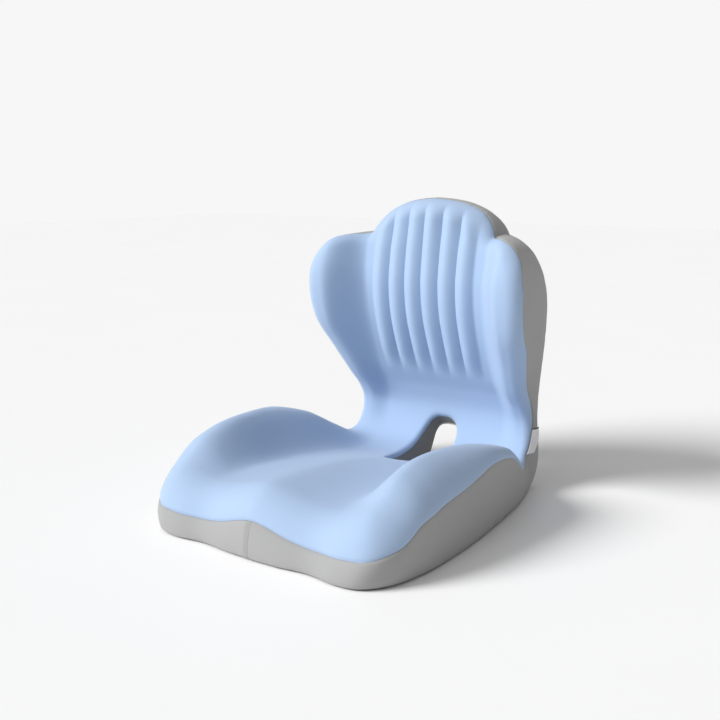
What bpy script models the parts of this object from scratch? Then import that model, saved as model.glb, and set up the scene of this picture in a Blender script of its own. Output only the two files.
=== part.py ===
"""One-piece seat and back cushion: a moulded foam core in a zipped fabric cover.

Frame: metres, +Z up, the front edge towards -Y, the floor at Z = 0 and the origin under
the middle of the whole object. Each skin panel and the core come from one surface, which
is laid out as spokes running from the coccyx slot to the outer seam and on round the body.
"""
import bpy
import bmesh
import numpy as np

# ---- overall sizes ---------------------------------------------------------------------
WIDTH = 0.402            # across the seat bolsters
DEPTH = 0.465            # nose of the seat to the flat rear face
HEIGHT = 0.425           # floor to the top of the back
REAR_CORNER = 0.050      # radius between the base and the rear face
REAR_LEAN = 0.017        # how far the rear face curves forwards at the top
LEAN_START = 0.60        # where that curve starts, as a share of the height
COVER = 0.0020           # thickness of the padded knit cover
GAP = 0.0003             # air left between touching pieces
CORE_GAP = 0.0010        # looseness of the cover on the core

# ---- coccyx slot -----------------------------------------------------------------------
SLOT_FRONT = 0.300       # distance of its front tip from the nose, along the surface
SLOT_LENGTH = 0.164
SLOT_HALF_WIDTH = 0.036
SLOT_ROLL = 0.008        # rounding of its upper rim
SLOT_TAPER = 0.33        # how much narrower its front half is
SLOT_POINT = 0.95        # powers that shape its sides, 1 for an ellipse
SLOT_SQUARE = 0.30
SLOT_BLUNT = 0.12
EXIT_FRONT = 0.345       # the same hole where it leaves the base
EXIT_LENGTH = 0.170

# ---- flutes of the back ----------------------------------------------------------------
FLUTES = 6
FLUTE_PITCH = 0.0287
FLUTE_DEPTH = 0.0085
FLUTE_START = 0.535      # where they rise, along the centre line from the nose
FLUTE_FADE = 0.060
FLUTE_ROUND = 0.62       # below 1 the crests are rounder and the creases sharper
FLUTE_END = 0.004        # they end this far inside the seam
FLUTE_END_FADE = 0.026

# ---- edge of the base ------------------------------------------------------------------
BASE_ROUND = 0.009       # how far the side band curls under the body
BAND_BULGE = 0.005       # how far the side band swells outwards
BAND_SHOULDER = 0.6      # place of that swelling between the lower edge and the seam

# ---- rear zip --------------------------------------------------------------------------
ZIP_LENGTH = 0.220
ZIP_HEIGHT = 0.115       # its centre line above the floor
ZIP_WINDOW = 0.0160      # height of the opening in the back panel
CHAIN_WIDTH = 0.0028     # one row of coils
CHAIN_THICK = 0.0024
CHAIN_GAP = 0.0012       # between the two rows, where the slider's post runs
TAPE_THICK = 0.0008
ZIP_SINK = 0.0014        # outer side of the coils below the rear face
PLATE_THICK = 0.0012     # each plate of the slider
SLIDER_LENGTH = 0.0110
SLIDER_WIDTH = 0.0094
POST_LENGTH = 0.0030
POST_WIDTH = CHAIN_GAP - 2 * GAP
STOP_LENGTH = 0.0040
BRIDGE_BAR = 0.0010      # thickness of the arch that holds the pull
BRIDGE_LENGTH = 0.0072
BRIDGE_WIDTH = 0.0020
BRIDGE_TOP = 0.0040      # top of the arch above the rear face
PULL_PIN = 0.0012        # square pin of the pull under the arch
PULL_THICK = 0.0010
PULL_ARM = 0.0016
PULL_WIDTH = 0.0070
PULL_LENGTH = 0.0240

# ---- blank side tag --------------------------------------------------------------------
TAG_WIDTH = 0.0160
TAG_HEIGHT = 0.0350
TAG_THICK = 0.0008
TAG_BOTTOM = 0.058       # lower edge of the tag above the floor
TAG_LIFT = 0.0010        # how far the tag stands off the band
TAG_ROWS = 5
TAG_COLUMNS = 6

# ---- mesh density ----------------------------------------------------------------------
SEAT_SPOKES = 14         # nose to the waist, each side
WING_SPOKES = 10         # waist to the notch under the crown, each side
CREASE_STEPS = 2         # spokes across one flute
WAIST_ANGLE = 15.0       # where the waist's spoke leaves the slot, in degrees
NOTCH_ANGLE = 42.0       # where the notch's spoke leaves it
SEAT_SPREAD = 1.15       # above 1 more of the seat's spokes leave near its front tip
WAY = 0.30               # share of a spoke before it bends
WAY_BULGE = 0.010        # how far the bends of the wing spokes lie outwards
UNDER_BEND = 0.600       # where the spokes bend on the rear face, along the underside

HALF = WIDTH / 2

# Centre line of the top before its edges roll over: distance from the nose, height.
CENTRE_LINE = (
    (0.000, 0.086), (0.060, 0.089), (0.130, 0.086), (0.200, 0.078), (0.265, 0.065),
    (0.320, 0.052), (0.370, 0.046), (0.410, 0.053), (0.435, 0.075), (0.443, 0.105),
    (0.433, 0.135), (0.415, 0.163), (0.395, 0.205), (0.377, 0.255), (0.371, 0.300),
    (0.374, 0.340), (0.379, 0.380), (0.385, 0.425),
)
LINE_DEPTH = 0.465       # the depth and height that the centre line is drawn for
LINE_HEIGHT = 0.425
LINE_RUN = 0.8162        # its run, and the run of the underside, at that size
UNDER_RUN = 0.8697
LINE_HALF = 0.201        # half width of the seam as drawn below

# Cross-sections along the centre line: place, then side distance and height of the valley,
# then side distance and height of the bolster or wing.
SECTIONS = (
    (0.000, 0.096, -0.019, 0.165, -0.016), (0.045, 0.094, -0.018, 0.165, 0.000),
    (0.087, 0.092, -0.016, 0.162, 0.028), (0.120, 0.090, -0.014, 0.162, 0.040),
    (0.160, 0.088, -0.012, 0.164, 0.045), (0.200, 0.086, -0.009, 0.168, 0.047),
    (0.240, 0.084, -0.006, 0.170, 0.048), (0.300, 0.084, -0.002, 0.168, 0.045),
    (0.360, 0.090, 0.000, 0.156, 0.027), (0.420, 0.100, 0.000, 0.140, 0.002),
    (0.460, 0.100, 0.001, 0.134, 0.008), (0.500, 0.098, 0.001, 0.132, 0.014),
    (0.540, 0.096, 0.001, 0.134, 0.020), (0.600, 0.096, 0.000, 0.144, 0.030),
    (0.650, 0.097, -0.002, 0.150, 0.043), (0.700, 0.098, -0.003, 0.150, 0.046),
    (0.740, 0.100, -0.005, 0.150, 0.036), (0.770, 0.102, -0.010, 0.150, 0.022),
    (0.815, 0.108, -0.014, 0.160, 0.012),
)

# Right half of the body's outline. Each row joins a point of the seam under the top panel to
# the point of the lower or rear edge behind it: side distance and place of the first along
# the centre line, then side distance and place of the second along the underside.
SEAT_OUTLINE = (
    (0.000, 0.000, 0.000, -0.009), (0.045, 0.002, 0.042, -0.007),
    (0.090, 0.005, 0.085, -0.002), (0.135, 0.001, 0.130, -0.007),
    (0.168, 0.006, 0.160, -0.001), (0.189, 0.032, 0.184, 0.028),
    (0.199, 0.080, 0.197, 0.080), (0.201, 0.130, 0.199, 0.130),
    (0.201, 0.190, 0.197, 0.190), (0.198, 0.250, 0.192, 0.250),
    (0.190, 0.310, 0.184, 0.310), (0.175, 0.370, 0.174, 0.370),
    (0.152, 0.428, 0.160, 0.425),
)
WING_OUTLINE = (
    (0.152, 0.428, 0.160, 0.425), (0.151, 0.460, 0.157, 0.475),
    (0.153, 0.500, 0.152, 0.535), (0.157, 0.540, 0.152, 0.580),
    (0.166, 0.580, 0.155, 0.622), (0.175, 0.620, 0.158, 0.660),
    (0.180, 0.660, 0.160, 0.700), (0.180, 0.697, 0.159, 0.738),
    (0.172, 0.729, 0.152, 0.770), (0.155, 0.750, 0.138, 0.796),
    (0.131, 0.760, 0.119, 0.812), (0.105, 0.765, 0.100, 0.820),
)
CROWN_OUTLINE = (
    (0.105, 0.765, 0.100, 0.820), (0.096, 0.782, 0.091, 0.836),
    (0.079, 0.800, 0.073, 0.850), (0.053, 0.812, 0.048, 0.860),
    (0.027, 0.817, 0.025, 0.864), (0.000, 0.819, 0.000, 0.866),
)
# How far the top panel rolls down to that seam: fraction of the seam's run, drop.
SEAT_ROLL = (
    (0.00, 0.045), (0.25, 0.045), (0.38, 0.049), (0.46, 0.060), (0.54, 0.055),
    (0.60, 0.044), (0.68, 0.024), (0.75, 0.016), (0.83, 0.013), (0.93, 0.012), (1.00, 0.008),
)
WING_ROLL = ((0.00, 0.008), (0.15, 0.013), (0.50, 0.020), (0.80, 0.020), (1.00, 0.018))
CROWN_ROLL = ((0.00, 0.018), (0.40, 0.027), (1.00, 0.032))
ROLL_STEEPNESS = 0.985   # 1 would end the roll exactly upright

# Rings of the mesh, as fractions of each stretch.
TOP_RINGS = (0.0, 0.035, 0.11, 0.20, 0.30, 0.42, 0.57, 0.73, 0.88)
ROLL_ANGLES = (90.0, 62.0, 38.0, 17.0, 0.0)
BAND_RINGS = (0.0, 0.30, 0.62, 0.85, 1.0)
UNDER_RINGS = (1.0, 0.80, 0.55, 0.28, 0.0)
LINING_RINGS = (0.0, 0.5, 1.0)


# ---- curves ----------------------------------------------------------------------------
def run_lengths(points):
    """Distance along a line of points, from its first point."""
    steps = np.linalg.norm(np.diff(points, axis=0), axis=1)
    return np.concatenate([[0.0], np.cumsum(steps)])


def smooth_line(points, steps=24):
    """A centripetal Catmull-Rom line through the points."""
    points = np.asarray(points, dtype=float)
    ends = np.vstack([2 * points[0] - points[1], points, 2 * points[-1] - points[-2]])
    pieces = []
    for i in range(1, len(ends) - 2):
        a, b, c, d = ends[i - 1:i + 3]
        t1 = np.linalg.norm(b - a) ** 0.5
        t2 = t1 + np.linalg.norm(c - b) ** 0.5
        t3 = t2 + np.linalg.norm(d - c) ** 0.5
        t = np.linspace(t1, t2, steps, endpoint=False)[:, None]
        ab = (t1 - t) / t1 * a + t / t1 * b
        bc = (t2 - t) / (t2 - t1) * b + (t - t1) / (t2 - t1) * c
        cd = (t3 - t) / (t3 - t2) * c + (t - t2) / (t3 - t2) * d
        abc = (t2 - t) / t2 * ab + t / t2 * bc
        bcd = (t3 - t) / (t3 - t1) * bc + (t - t1) / (t3 - t1) * cd
        pieces.append((t2 - t) / (t2 - t1) * abc + (t - t1) / (t2 - t1) * bcd)
    pieces.append(points[-1:])
    return np.vstack(pieces)


def along(line, fractions):
    """Points at fractions of the length of a line's first two columns."""
    lengths = run_lengths(line[:, :2])
    wanted = np.asarray(fractions) * lengths[-1]
    return np.stack([np.interp(wanted, lengths, column) for column in line.T], axis=-1)


def table(rows, column, places):
    """A smooth, overshoot-free value from the rows of a table."""
    rows = np.asarray(rows, dtype=float)
    x, y = rows[:, 0], rows[:, column]
    places = np.clip(places, x[0], x[-1])
    width = np.diff(x)
    rise = np.diff(y) / width
    slope = np.concatenate([rise[:1], np.zeros(len(x) - 2), rise[-1:]])
    for i in range(1, len(x) - 1):
        if rise[i - 1] * rise[i] > 0:
            before = 2 * width[i] + width[i - 1]
            after = width[i] + 2 * width[i - 1]
            slope[i] = (before + after) / (before / rise[i - 1] + after / rise[i])
    k = np.clip(np.searchsorted(x, places, side="right") - 1, 0, len(x) - 2)
    t = (places - x[k]) / width[k]
    ends = (2 * t**3 - 3 * t**2 + 1) * y[k] + (3 * t**2 - 2 * t**3) * y[k + 1]
    turns = (t**3 - 2 * t**2 + t) * slope[k] + (t**3 - t**2) * slope[k + 1]
    return ends + turns * width[k]


def ease(t):
    """0 to 1 with level ends."""
    t = np.clip(t, 0.0, 1.0)
    return t * t * (3 - 2 * t)


class SideLine:
    """A line in the Y-Z plane, read by the distance along it."""

    def __init__(self, points):
        self.points = np.asarray(points, dtype=float)
        self.lengths = run_lengths(self.points)

    def at(self, places):
        """Y and Z at the places, running straight on past both ends."""
        places = np.asarray(places, dtype=float)
        inside = [np.interp(places, self.lengths, self.points[:, i]) for i in range(2)]
        result = np.stack(inside, axis=-1)
        before = np.minimum(places, 0.0)[..., None]
        after = np.maximum(places - self.lengths[-1], 0.0)[..., None]
        first = self.points[1] - self.points[0]
        last = self.points[-1] - self.points[-2]
        result = result + before * first / np.linalg.norm(first)
        return result + after * last / np.linalg.norm(last)

    def normal(self, places, reach=0.004):
        """The direction to the left of the line's run."""
        run = self.at(np.asarray(places) + reach) - self.at(np.asarray(places) - reach)
        run = run / np.linalg.norm(run, axis=-1, keepdims=True)
        return np.stack([-run[..., 1], run[..., 0]], axis=-1)


def top_side_line():
    """The centre line of the top, stretched to the overall depth and height."""
    points = np.array(CENTRE_LINE) * (DEPTH / LINE_DEPTH, HEIGHT / LINE_HEIGHT)
    return SideLine(smooth_line(points))


def under_side_line():
    """The base, the rounded rear corner and the rear face, as one line."""
    turn = np.radians(np.linspace(-90, 0, 64))
    hub = (DEPTH - REAR_CORNER, REAR_CORNER)
    corner = [(hub[0] + REAR_CORNER * np.cos(a), hub[1] + REAR_CORNER * np.sin(a)) for a in turn]
    rise = np.linspace(LEAN_START, 1, 24)
    lean = REAR_LEAN * ((rise - LEAN_START) / (1 - LEAN_START))**2
    upper = np.stack([DEPTH - lean, HEIGHT * rise], axis=-1)
    return SideLine(np.vstack([[(0.0, 0.0)], corner, upper]))


TOP_LINE = top_side_line()
UNDER_LINE = under_side_line()
TOP_SCALE = TOP_LINE.lengths[-1] / LINE_RUN
UNDER_SCALE = UNDER_LINE.lengths[-1] / UNDER_RUN
SIDE_SCALE = HALF / LINE_HALF


def outline(rows, steps=24):
    """A smooth outline at the real size: seam side and place, edge side and place."""
    scale = np.array([SIDE_SCALE, TOP_SCALE, SIDE_SCALE, UNDER_SCALE])
    return smooth_line(np.array(rows) * scale, steps)


# ---- surface ---------------------------------------------------------------------------
def seam_outline():
    """The whole right half of the seam with the roll at each of its points."""
    points, rolls = [], []
    parts = ((SEAT_OUTLINE, SEAT_ROLL), (WING_OUTLINE, WING_ROLL), (CROWN_OUTLINE, CROWN_ROLL))
    for rows, roll in parts:
        line = outline(rows, 8)[:, :2]
        share = run_lengths(line) / run_lengths(line)[-1]
        skip = 1 if points else 0
        points.append(line[skip:])
        rolls.append(table(roll, 1, share)[skip:])
    return np.vstack(points), np.concatenate(rolls)


OUTLINE, OUTLINE_ROLL = seam_outline()


def edge_distance(x, s):
    """Distance to the outer seam on the laid-out surface, and the roll there."""
    spot = np.stack([np.abs(x), s], axis=-1)
    nearest = np.full(x.shape, 9.0)
    roll = np.zeros(x.shape)
    for i in range(len(OUTLINE) - 1):
        start, run = OUTLINE[i], OUTLINE[i + 1] - OUTLINE[i]
        t = np.clip(((spot - start) @ run) / (run @ run), 0, 1)
        away = np.linalg.norm(spot - start - t[..., None] * run, axis=-1)
        closer = away < nearest
        nearest = np.where(closer, away, nearest)
        here = OUTLINE_ROLL[i] + (OUTLINE_ROLL[i + 1] - OUTLINE_ROLL[i]) * t
        roll = np.where(closer, here, roll)
    return nearest, roll


def rolled(distance, radius):
    """How far a rounded edge has dropped at a distance from its end."""
    inward = ROLL_STEEPNESS * np.clip(1 - distance / radius, 0, 1)
    return radius * (1 - np.sqrt(1 - inward**2))


def section_height(x, s):
    """Valleys, seat bolsters and wings above the centre line."""
    across = np.abs(x) / SIDE_SCALE
    place = s / TOP_SCALE
    valley_at, valley, crest_at, crest = [table(SECTIONS, i, place) for i in (1, 2, 3, 4)]
    inner = 0.5 - 0.5 * np.cos(np.pi * np.clip(across / valley_at, 0, 1))
    outer = np.clip((across - valley_at) / (crest_at - valley_at), 0, 1)
    return valley * inner + (crest - valley) * (0.5 - 0.5 * np.cos(np.pi * outer))


def flute_height(x, s, distance):
    """Rounded flutes with sharp creases, fading out at both ends."""
    step = np.abs(x) / FLUTE_PITCH
    phase = 2 * np.abs(step - np.round(step))
    phase = np.where(step > FLUTES / 2, 0.0, phase)
    crest = np.sin(np.pi / 2 * phase) ** FLUTE_ROUND
    start = ease((s - FLUTE_START * TOP_SCALE) / FLUTE_FADE)
    end = ease((distance - FLUTE_END) / FLUTE_END_FADE)
    return FLUTE_DEPTH * crest * start * end


def slot_rim(angles, front, length, half_width):
    """An egg-shaped hole on a laid-out surface, blunt towards the back."""
    side, run = np.cos(angles), np.sin(angles)
    blunt = ease(0.5 + 0.5 * run)
    x = half_width * np.sign(side) * np.abs(side) ** (SLOT_POINT - SLOT_SQUARE * blunt)
    x = x * (1 - SLOT_TAPER + SLOT_TAPER * blunt)
    s = front + length / 2 * (1 + np.sign(run) * np.abs(run) ** (1 - SLOT_BLUNT * blunt))
    return np.stack([x, s], axis=-1)


def top_points(x, s, from_rim):
    """The top surface at side distance x and place s."""
    distance, roll = edge_distance(x, s)
    height = section_height(x, s) + flute_height(x, s, distance)
    height = height - rolled(distance, roll) - rolled(from_rim, SLOT_ROLL)
    yz = TOP_LINE.at(s) + TOP_LINE.normal(s) * height[..., None]
    return np.concatenate([x[..., None], yz], axis=-1)


def under_points(x, s):
    """The base and rear face at side distance x and place s."""
    return np.concatenate([x[..., None], UNDER_LINE.at(s)], axis=-1)


def half_spokes():
    """Seam point, edge point and slot angle of each spoke, nose to crown."""
    seat = np.arange(SEAT_SPOKES) / SEAT_SPOKES
    wing = np.arange(WING_SPOKES) / WING_SPOKES
    crown_line = outline(CROWN_OUTLINE)[:, :2]
    share = run_lengths(crown_line) / run_lengths(crown_line)[-1]
    creases = np.arange(FLUTES // 2 * CREASE_STEPS, -1, -1) / CREASE_STEPS * FLUTE_PITCH
    crown = np.interp(-creases, -crown_line[:, 0], share)
    crown = np.concatenate([[0.0, crown[0] / 2], crown])
    parts = ((SEAT_OUTLINE, seat), (WING_OUTLINE, wing), (CROWN_OUTLINE, crown))
    points = np.vstack([along(outline(rows), places) for rows, places in parts])
    angle = np.concatenate([
        -90 + (WAIST_ANGLE + 90) * seat**SEAT_SPREAD,
        WAIST_ANGLE + (NOTCH_ANGLE - WAIST_ANGLE) * wing,
        NOTCH_ANGLE + (90 - NOTCH_ANGLE) * crown,
    ])
    return points[:, :2], points[:, 2:], np.radians(angle)


def whole_loop(half):
    """The right half followed by its mirror image on the left."""
    return np.concatenate([half, half[::-1][1:-1] * (-1, 1)])


def waypoints(start, end, level):
    """Where each spoke of the right half bends, so that the crown's spokes run upright."""
    ways = start + WAY * (end - start)
    notch = SEAT_SPOKES + WING_SPOKES
    ways[notch:, 0] = end[notch:, 0]
    ways[notch:, 1] = level
    wing = np.arange(WING_SPOKES)[:, None] / WING_SPOKES
    ways[SEAT_SPOKES:notch] = (1 - wing) * ways[SEAT_SPOKES] + wing * ways[notch]
    ways[SEAT_SPOKES:notch] += WAY_BULGE * np.sin(np.pi * wing) * (1, -1)
    return ways


def spread(start, way, end, share):
    """Points and run lengths at shares of spokes that bend at their waypoints."""
    inner = np.clip(share / WAY, 0, 1)
    outer = np.clip((share - WAY) / (1 - WAY), 0, 1)
    first, second = (way - start)[:, None], (end - way)[:, None]
    points = start[:, None] + first * inner[..., None] + second * outer[..., None]
    run = np.linalg.norm(first, axis=-1) * inner + np.linalg.norm(second, axis=-1) * outer
    return points[..., 0], points[..., 1], run


def body_surface():
    """Rings round the whole body, and the ring numbers of its four seams."""
    seam, edge, angle = half_spokes()
    rim = slot_rim(angle, SLOT_FRONT * TOP_SCALE, SLOT_LENGTH, SLOT_HALF_WIDTH)
    leave = slot_rim(angle, EXIT_FRONT * UNDER_SCALE, EXIT_LENGTH, SLOT_HALF_WIDTH)
    way = waypoints(rim, seam, FLUTE_START * TOP_SCALE)
    under_way = waypoints(leave, edge, UNDER_BEND * UNDER_SCALE)
    seam, edge, rim, leave, way, under_way = [
        whole_loop(half) for half in (seam, edge, rim, leave, way, under_way)
    ]

    roll = edge_distance(seam[:, 0], seam[:, 1])[1]
    rolling = (1 - WAY) * roll / np.linalg.norm(seam - way, axis=1)
    turned = np.cos(np.radians(ROLL_ANGLES))
    share = np.hstack([
        (1 - rolling)[:, None] * np.array(TOP_RINGS),
        1 - rolling[:, None] * (1 - turned),
    ])
    top = top_points(*spread(rim, way, seam, share))

    under = np.array(UNDER_RINGS)[None, :] * np.ones((len(seam), 1))
    x, s, _ = spread(leave, under_way, edge, under)
    base = under_points(x, s)
    outward = base[:, 0] - base[:, 1]
    outward = outward / np.linalg.norm(outward, axis=1, keepdims=True)
    foot = base[:, 0] - outward * BASE_ROUND

    t = np.array(BAND_RINGS)[None, :, None]
    shoulder = BAND_SHOULDER * top[:, -1] + (1 - BAND_SHOULDER) * base[:, 0]
    shoulder = shoulder + outward * BAND_BULGE
    band = (1 - t)**3 * top[:, -1:] + 3 * (1 - t)**2 * t * shoulder[:, None]
    band = band + 3 * (1 - t) * t**2 * base[:, :1] + t**3 * foot[:, None]
    base[:, 0] = foot

    t = np.array(LINING_RINGS)[None, :, None]
    lining = (1 - t) * base[:, -1:] + t * top[:, :1]
    rings = np.concatenate([top, band[:, 1:], base[:, 1:], lining[:, 1:-1]], axis=1)
    counts = np.cumsum([top.shape[1] - 1, len(BAND_RINGS) - 1, len(UNDER_RINGS) - 1])
    return rings, [0, *counts, rings.shape[1]]


def outward_normals(rings):
    """The direction away from the foam at each point, evened out between its neighbours."""
    total = np.zeros(rings.shape)
    for row_step, ring_step in ((1, 1), (1, -1), (-1, 1), (-1, -1)):
        along_row = np.roll(rings, -row_step, axis=0) - rings
        along_ring = np.roll(rings, -ring_step, axis=1) - rings
        normal = np.cross(along_ring, along_row) * row_step * ring_step
        total += normal / np.linalg.norm(normal, axis=-1, keepdims=True)
    for axis in (0, 1):
        total = 2 * total + np.roll(total, 1, axis=axis) + np.roll(total, -1, axis=axis)
    return total / np.linalg.norm(total, axis=-1, keepdims=True)


RINGS, SEAMS = body_surface()
NORMALS = outward_normals(RINGS)
MIDDLE = (RINGS[..., 1].min() + DEPTH + BRIDGE_TOP) / 2
SHIFT = np.array([0.0, -MIDDLE, 0.0])
REAR_Y = DEPTH - MIDDLE


# ---- objects ---------------------------------------------------------------------------
def material(name, colour, roughness, metallic=0.0):
    """A plain finish."""
    finish = bpy.data.materials.new(name)
    finish.use_nodes = True
    shader = finish.node_tree.nodes["Principled BSDF"]
    shader.inputs["Base Color"].default_value = (*colour, 1.0)
    shader.inputs["Roughness"].default_value = roughness
    shader.inputs["Metallic"].default_value = metallic
    return finish


BLUE = (0.36, 0.52, 0.80)
GREY = (0.42, 0.42, 0.43)
DARK = (0.16, 0.16, 0.17)
FOAM = (0.90, 0.88, 0.80)
STEEL = (0.60, 0.60, 0.62)
WHITE = (0.85, 0.85, 0.86)


def add_object(name, points, faces, colour, roughness=0.9, metallic=0.0, smooth=True):
    """A closed mesh object, with the ends of its loops joined and its faces outwards."""
    mesh = bpy.data.meshes.new(name)
    mesh.from_pydata([tuple(p) for p in points], [], faces)
    tidy = bmesh.new()
    tidy.from_mesh(mesh)
    bmesh.ops.remove_doubles(tidy, verts=tidy.verts, dist=1e-6)
    bmesh.ops.triangulate(tidy, faces=tidy.faces)
    bmesh.ops.recalc_face_normals(tidy, faces=tidy.faces)
    if tidy.calc_volume(signed=True) < 0:
        bmesh.ops.reverse_faces(tidy, faces=tidy.faces)
    tidy.to_mesh(mesh)
    tidy.free()
    if smooth:
        mesh.shade_smooth()
        mesh.set_sharp_from_angle(angle=np.radians(40))
    item = bpy.data.objects.new(name, mesh)
    bpy.context.collection.objects.link(item)
    item.data.materials.append(material(name + "_finish", colour, roughness, metallic))
    return item


def boxed(name, low, high, colour=STEEL, roughness=0.35, metallic=1.0):
    """A rectangular block between two corners."""
    low, high = np.asarray(low), np.asarray(high)
    corners = [np.where([i & 4, i & 2, i & 1], high, low) for i in range(8)]
    faces = [(0, 1, 3, 2), (4, 6, 7, 5), (0, 4, 5, 1), (2, 3, 7, 6), (0, 2, 6, 4), (1, 5, 7, 3)]
    return add_object(name, corners, faces, colour, roughness, metallic, smooth=False)


def cut(item, cutter, operation="DIFFERENCE"):
    """Cut or join an object with a guide that isn't part of the model."""
    cutter.hide_render = True
    cutter.display_type = "WIRE"
    change = item.modifiers.new(operation.lower(), "BOOLEAN")
    change.operation = operation
    change.solver = "EXACT"
    change.object = cutter
    return item


def split(first, second):
    """Two triangles of one cell of a grid, between two of its rows."""
    a, b, c, d = first, first + 1, second + 1, second
    return [(a, b, c), (a, c, d)]


def grid_faces(rows, columns, offset=0):
    """Triangles of an open grid."""
    faces = []
    for i in range(rows - 1):
        for j in range(columns - 1):
            here = offset + i * columns + j
            faces += split(here, here + columns)
    return faces


def shell(name, outer, inner, colour, closed_rows):
    """A closed skin between two grids; its rows may run round into a loop."""
    if closed_rows:
        outer = np.concatenate([outer, outer[:1]])
        inner = np.concatenate([inner, inner[:1]])
    rows, columns = outer.shape[:2]
    count = rows * columns
    faces = grid_faces(rows, columns)
    faces += [tuple(count + v for v in face[::-1]) for face in grid_faces(rows, columns)]
    border = []
    for i in range(rows - 1):
        border.append((i * columns, (i + 1) * columns))
        border.append(((i + 1) * columns - 1, (i + 2) * columns - 1))
    if not closed_rows:
        for j in range(columns - 1):
            border.append((j, j + 1))
            border.append((count - columns + j, count - columns + j + 1))
    for a, b in border:
        faces += [(a, b, b + count), (a, b + count, a + count)]
    points = np.concatenate([outer.reshape(-1, 3), inner.reshape(-1, 3)]) + SHIFT
    return add_object(name, points, faces, colour)


def pulled_back(grid, axis, end):
    """A grid whose first or last line stops half a gap short of its seam."""
    grid = np.moveaxis(grid.copy(), axis, 0)
    last, inside = (0, 1) if end == "first" else (-1, -2)
    step = grid[inside] - grid[last]
    length = np.linalg.norm(step, axis=-1, keepdims=True)
    grid[last] = grid[last] + step * (GAP / 2) / length
    return np.moveaxis(grid, 0, axis)


def panel(name, spokes, rings, colour):
    """A cover panel over some spokes and rings, or all round when spokes is None."""
    columns = np.arange(rings[0], rings[1] + 1) % RINGS.shape[1]
    rows = np.arange(len(RINGS)) if spokes is None else np.arange(*spokes) % len(RINGS)
    outer = RINGS[np.ix_(rows, columns)]
    inner = outer - COVER * NORMALS[np.ix_(rows, columns)]
    skins = []
    for grid in (outer, inner):
        grid = pulled_back(pulled_back(grid, 1, "first"), 1, "last")
        if spokes is not None:
            grid = pulled_back(pulled_back(grid, 0, "first"), 0, "last")
        skins.append(grid)
    return shell(name, skins[0], skins[1], colour, spokes is None)


def foam_core():
    """The moulded core, one ring-shaped body inside the cover."""
    points = RINGS - (COVER + CORE_GAP) * NORMALS
    rows, columns = points.shape[:2]
    points = np.concatenate([points, points[:1]])
    points = np.concatenate([points, points[:, :1]], axis=1)
    faces = grid_faces(rows + 1, columns + 1)
    return add_object("foam_core", points.reshape(-1, 3) + SHIFT, faces, FOAM)


def cover_panels():
    """Top, two side bands, slot lining, base and back."""
    rim, seam, edge, leave, end = SEAMS
    half = len(RINGS) // 2
    waist = SEAT_SPOKES
    panel("top_panel", None, (rim, seam), BLUE)
    panel("side_band_right", (0, half + 1), (seam, edge), GREY)
    panel("side_band_left", (half, len(RINGS) + 1), (seam, edge), GREY)
    panel("base_panel", (len(RINGS) - waist, len(RINGS) + waist + 1), (edge, leave), DARK)
    back = panel("back_panel", (waist, len(RINGS) - waist + 1), (edge, leave), GREY)
    panel("slot_lining", None, (leave, end), GREY)
    return back


def zip_cutters(core, back):
    """The opening in the back panel and the channel behind it for the slider."""
    along_x = ZIP_LENGTH / 2 + STOP_LENGTH + 2 * GAP
    up = ZIP_WINDOW / 2
    deep = COVER + CORE_GAP + CHAIN_THICK + PLATE_THICK + 4 * GAP
    low = (-along_x, REAR_Y - deep, ZIP_HEIGHT - up)
    high = (along_x, REAR_Y + 0.01, ZIP_HEIGHT + up)
    cut(back, boxed("zip_window_guide", low, high))
    cut(core, boxed("zip_channel_guide", low, high))


def zip_chains():
    """Tapes, coil rows and end stops of the closed zip."""
    outer = REAR_Y - ZIP_SINK
    end = ZIP_LENGTH / 2
    tape_y = outer - CHAIN_THICK / 2
    for side, name in ((1, "upper"), (-1, "lower")):
        coil = np.array([CHAIN_GAP / 2, CHAIN_GAP / 2 + CHAIN_WIDTH]) * side + ZIP_HEIGHT
        tape = np.array([CHAIN_GAP / 2 + CHAIN_WIDTH + GAP, ZIP_WINDOW / 2 - GAP])
        tape = tape * side + ZIP_HEIGHT
        boxed("zip_coil_" + name, (-end, outer - CHAIN_THICK, coil.min()),
              (end, outer, coil.max()), DARK, 0.5, 0.0)
        boxed("zip_tape_" + name, (-end - STOP_LENGTH, tape_y - TAPE_THICK / 2, tape.min()),
              (end + STOP_LENGTH, tape_y + TAPE_THICK / 2, tape.max()), DARK, 0.9, 0.0)
    reach = CHAIN_GAP / 2 + CHAIN_WIDTH
    for side, name in ((1, "right"), (-1, "left")):
        x = np.sort(np.array([end + GAP, end + STOP_LENGTH]) * side)
        boxed("zip_stop_" + name, (x[0], outer - CHAIN_THICK, ZIP_HEIGHT - reach),
              (x[1], outer, ZIP_HEIGHT + reach))


def slider_place():
    """X of the slider's middle when the zip is closed."""
    return ZIP_LENGTH / 2 - SLIDER_LENGTH / 2 - GAP


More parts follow.
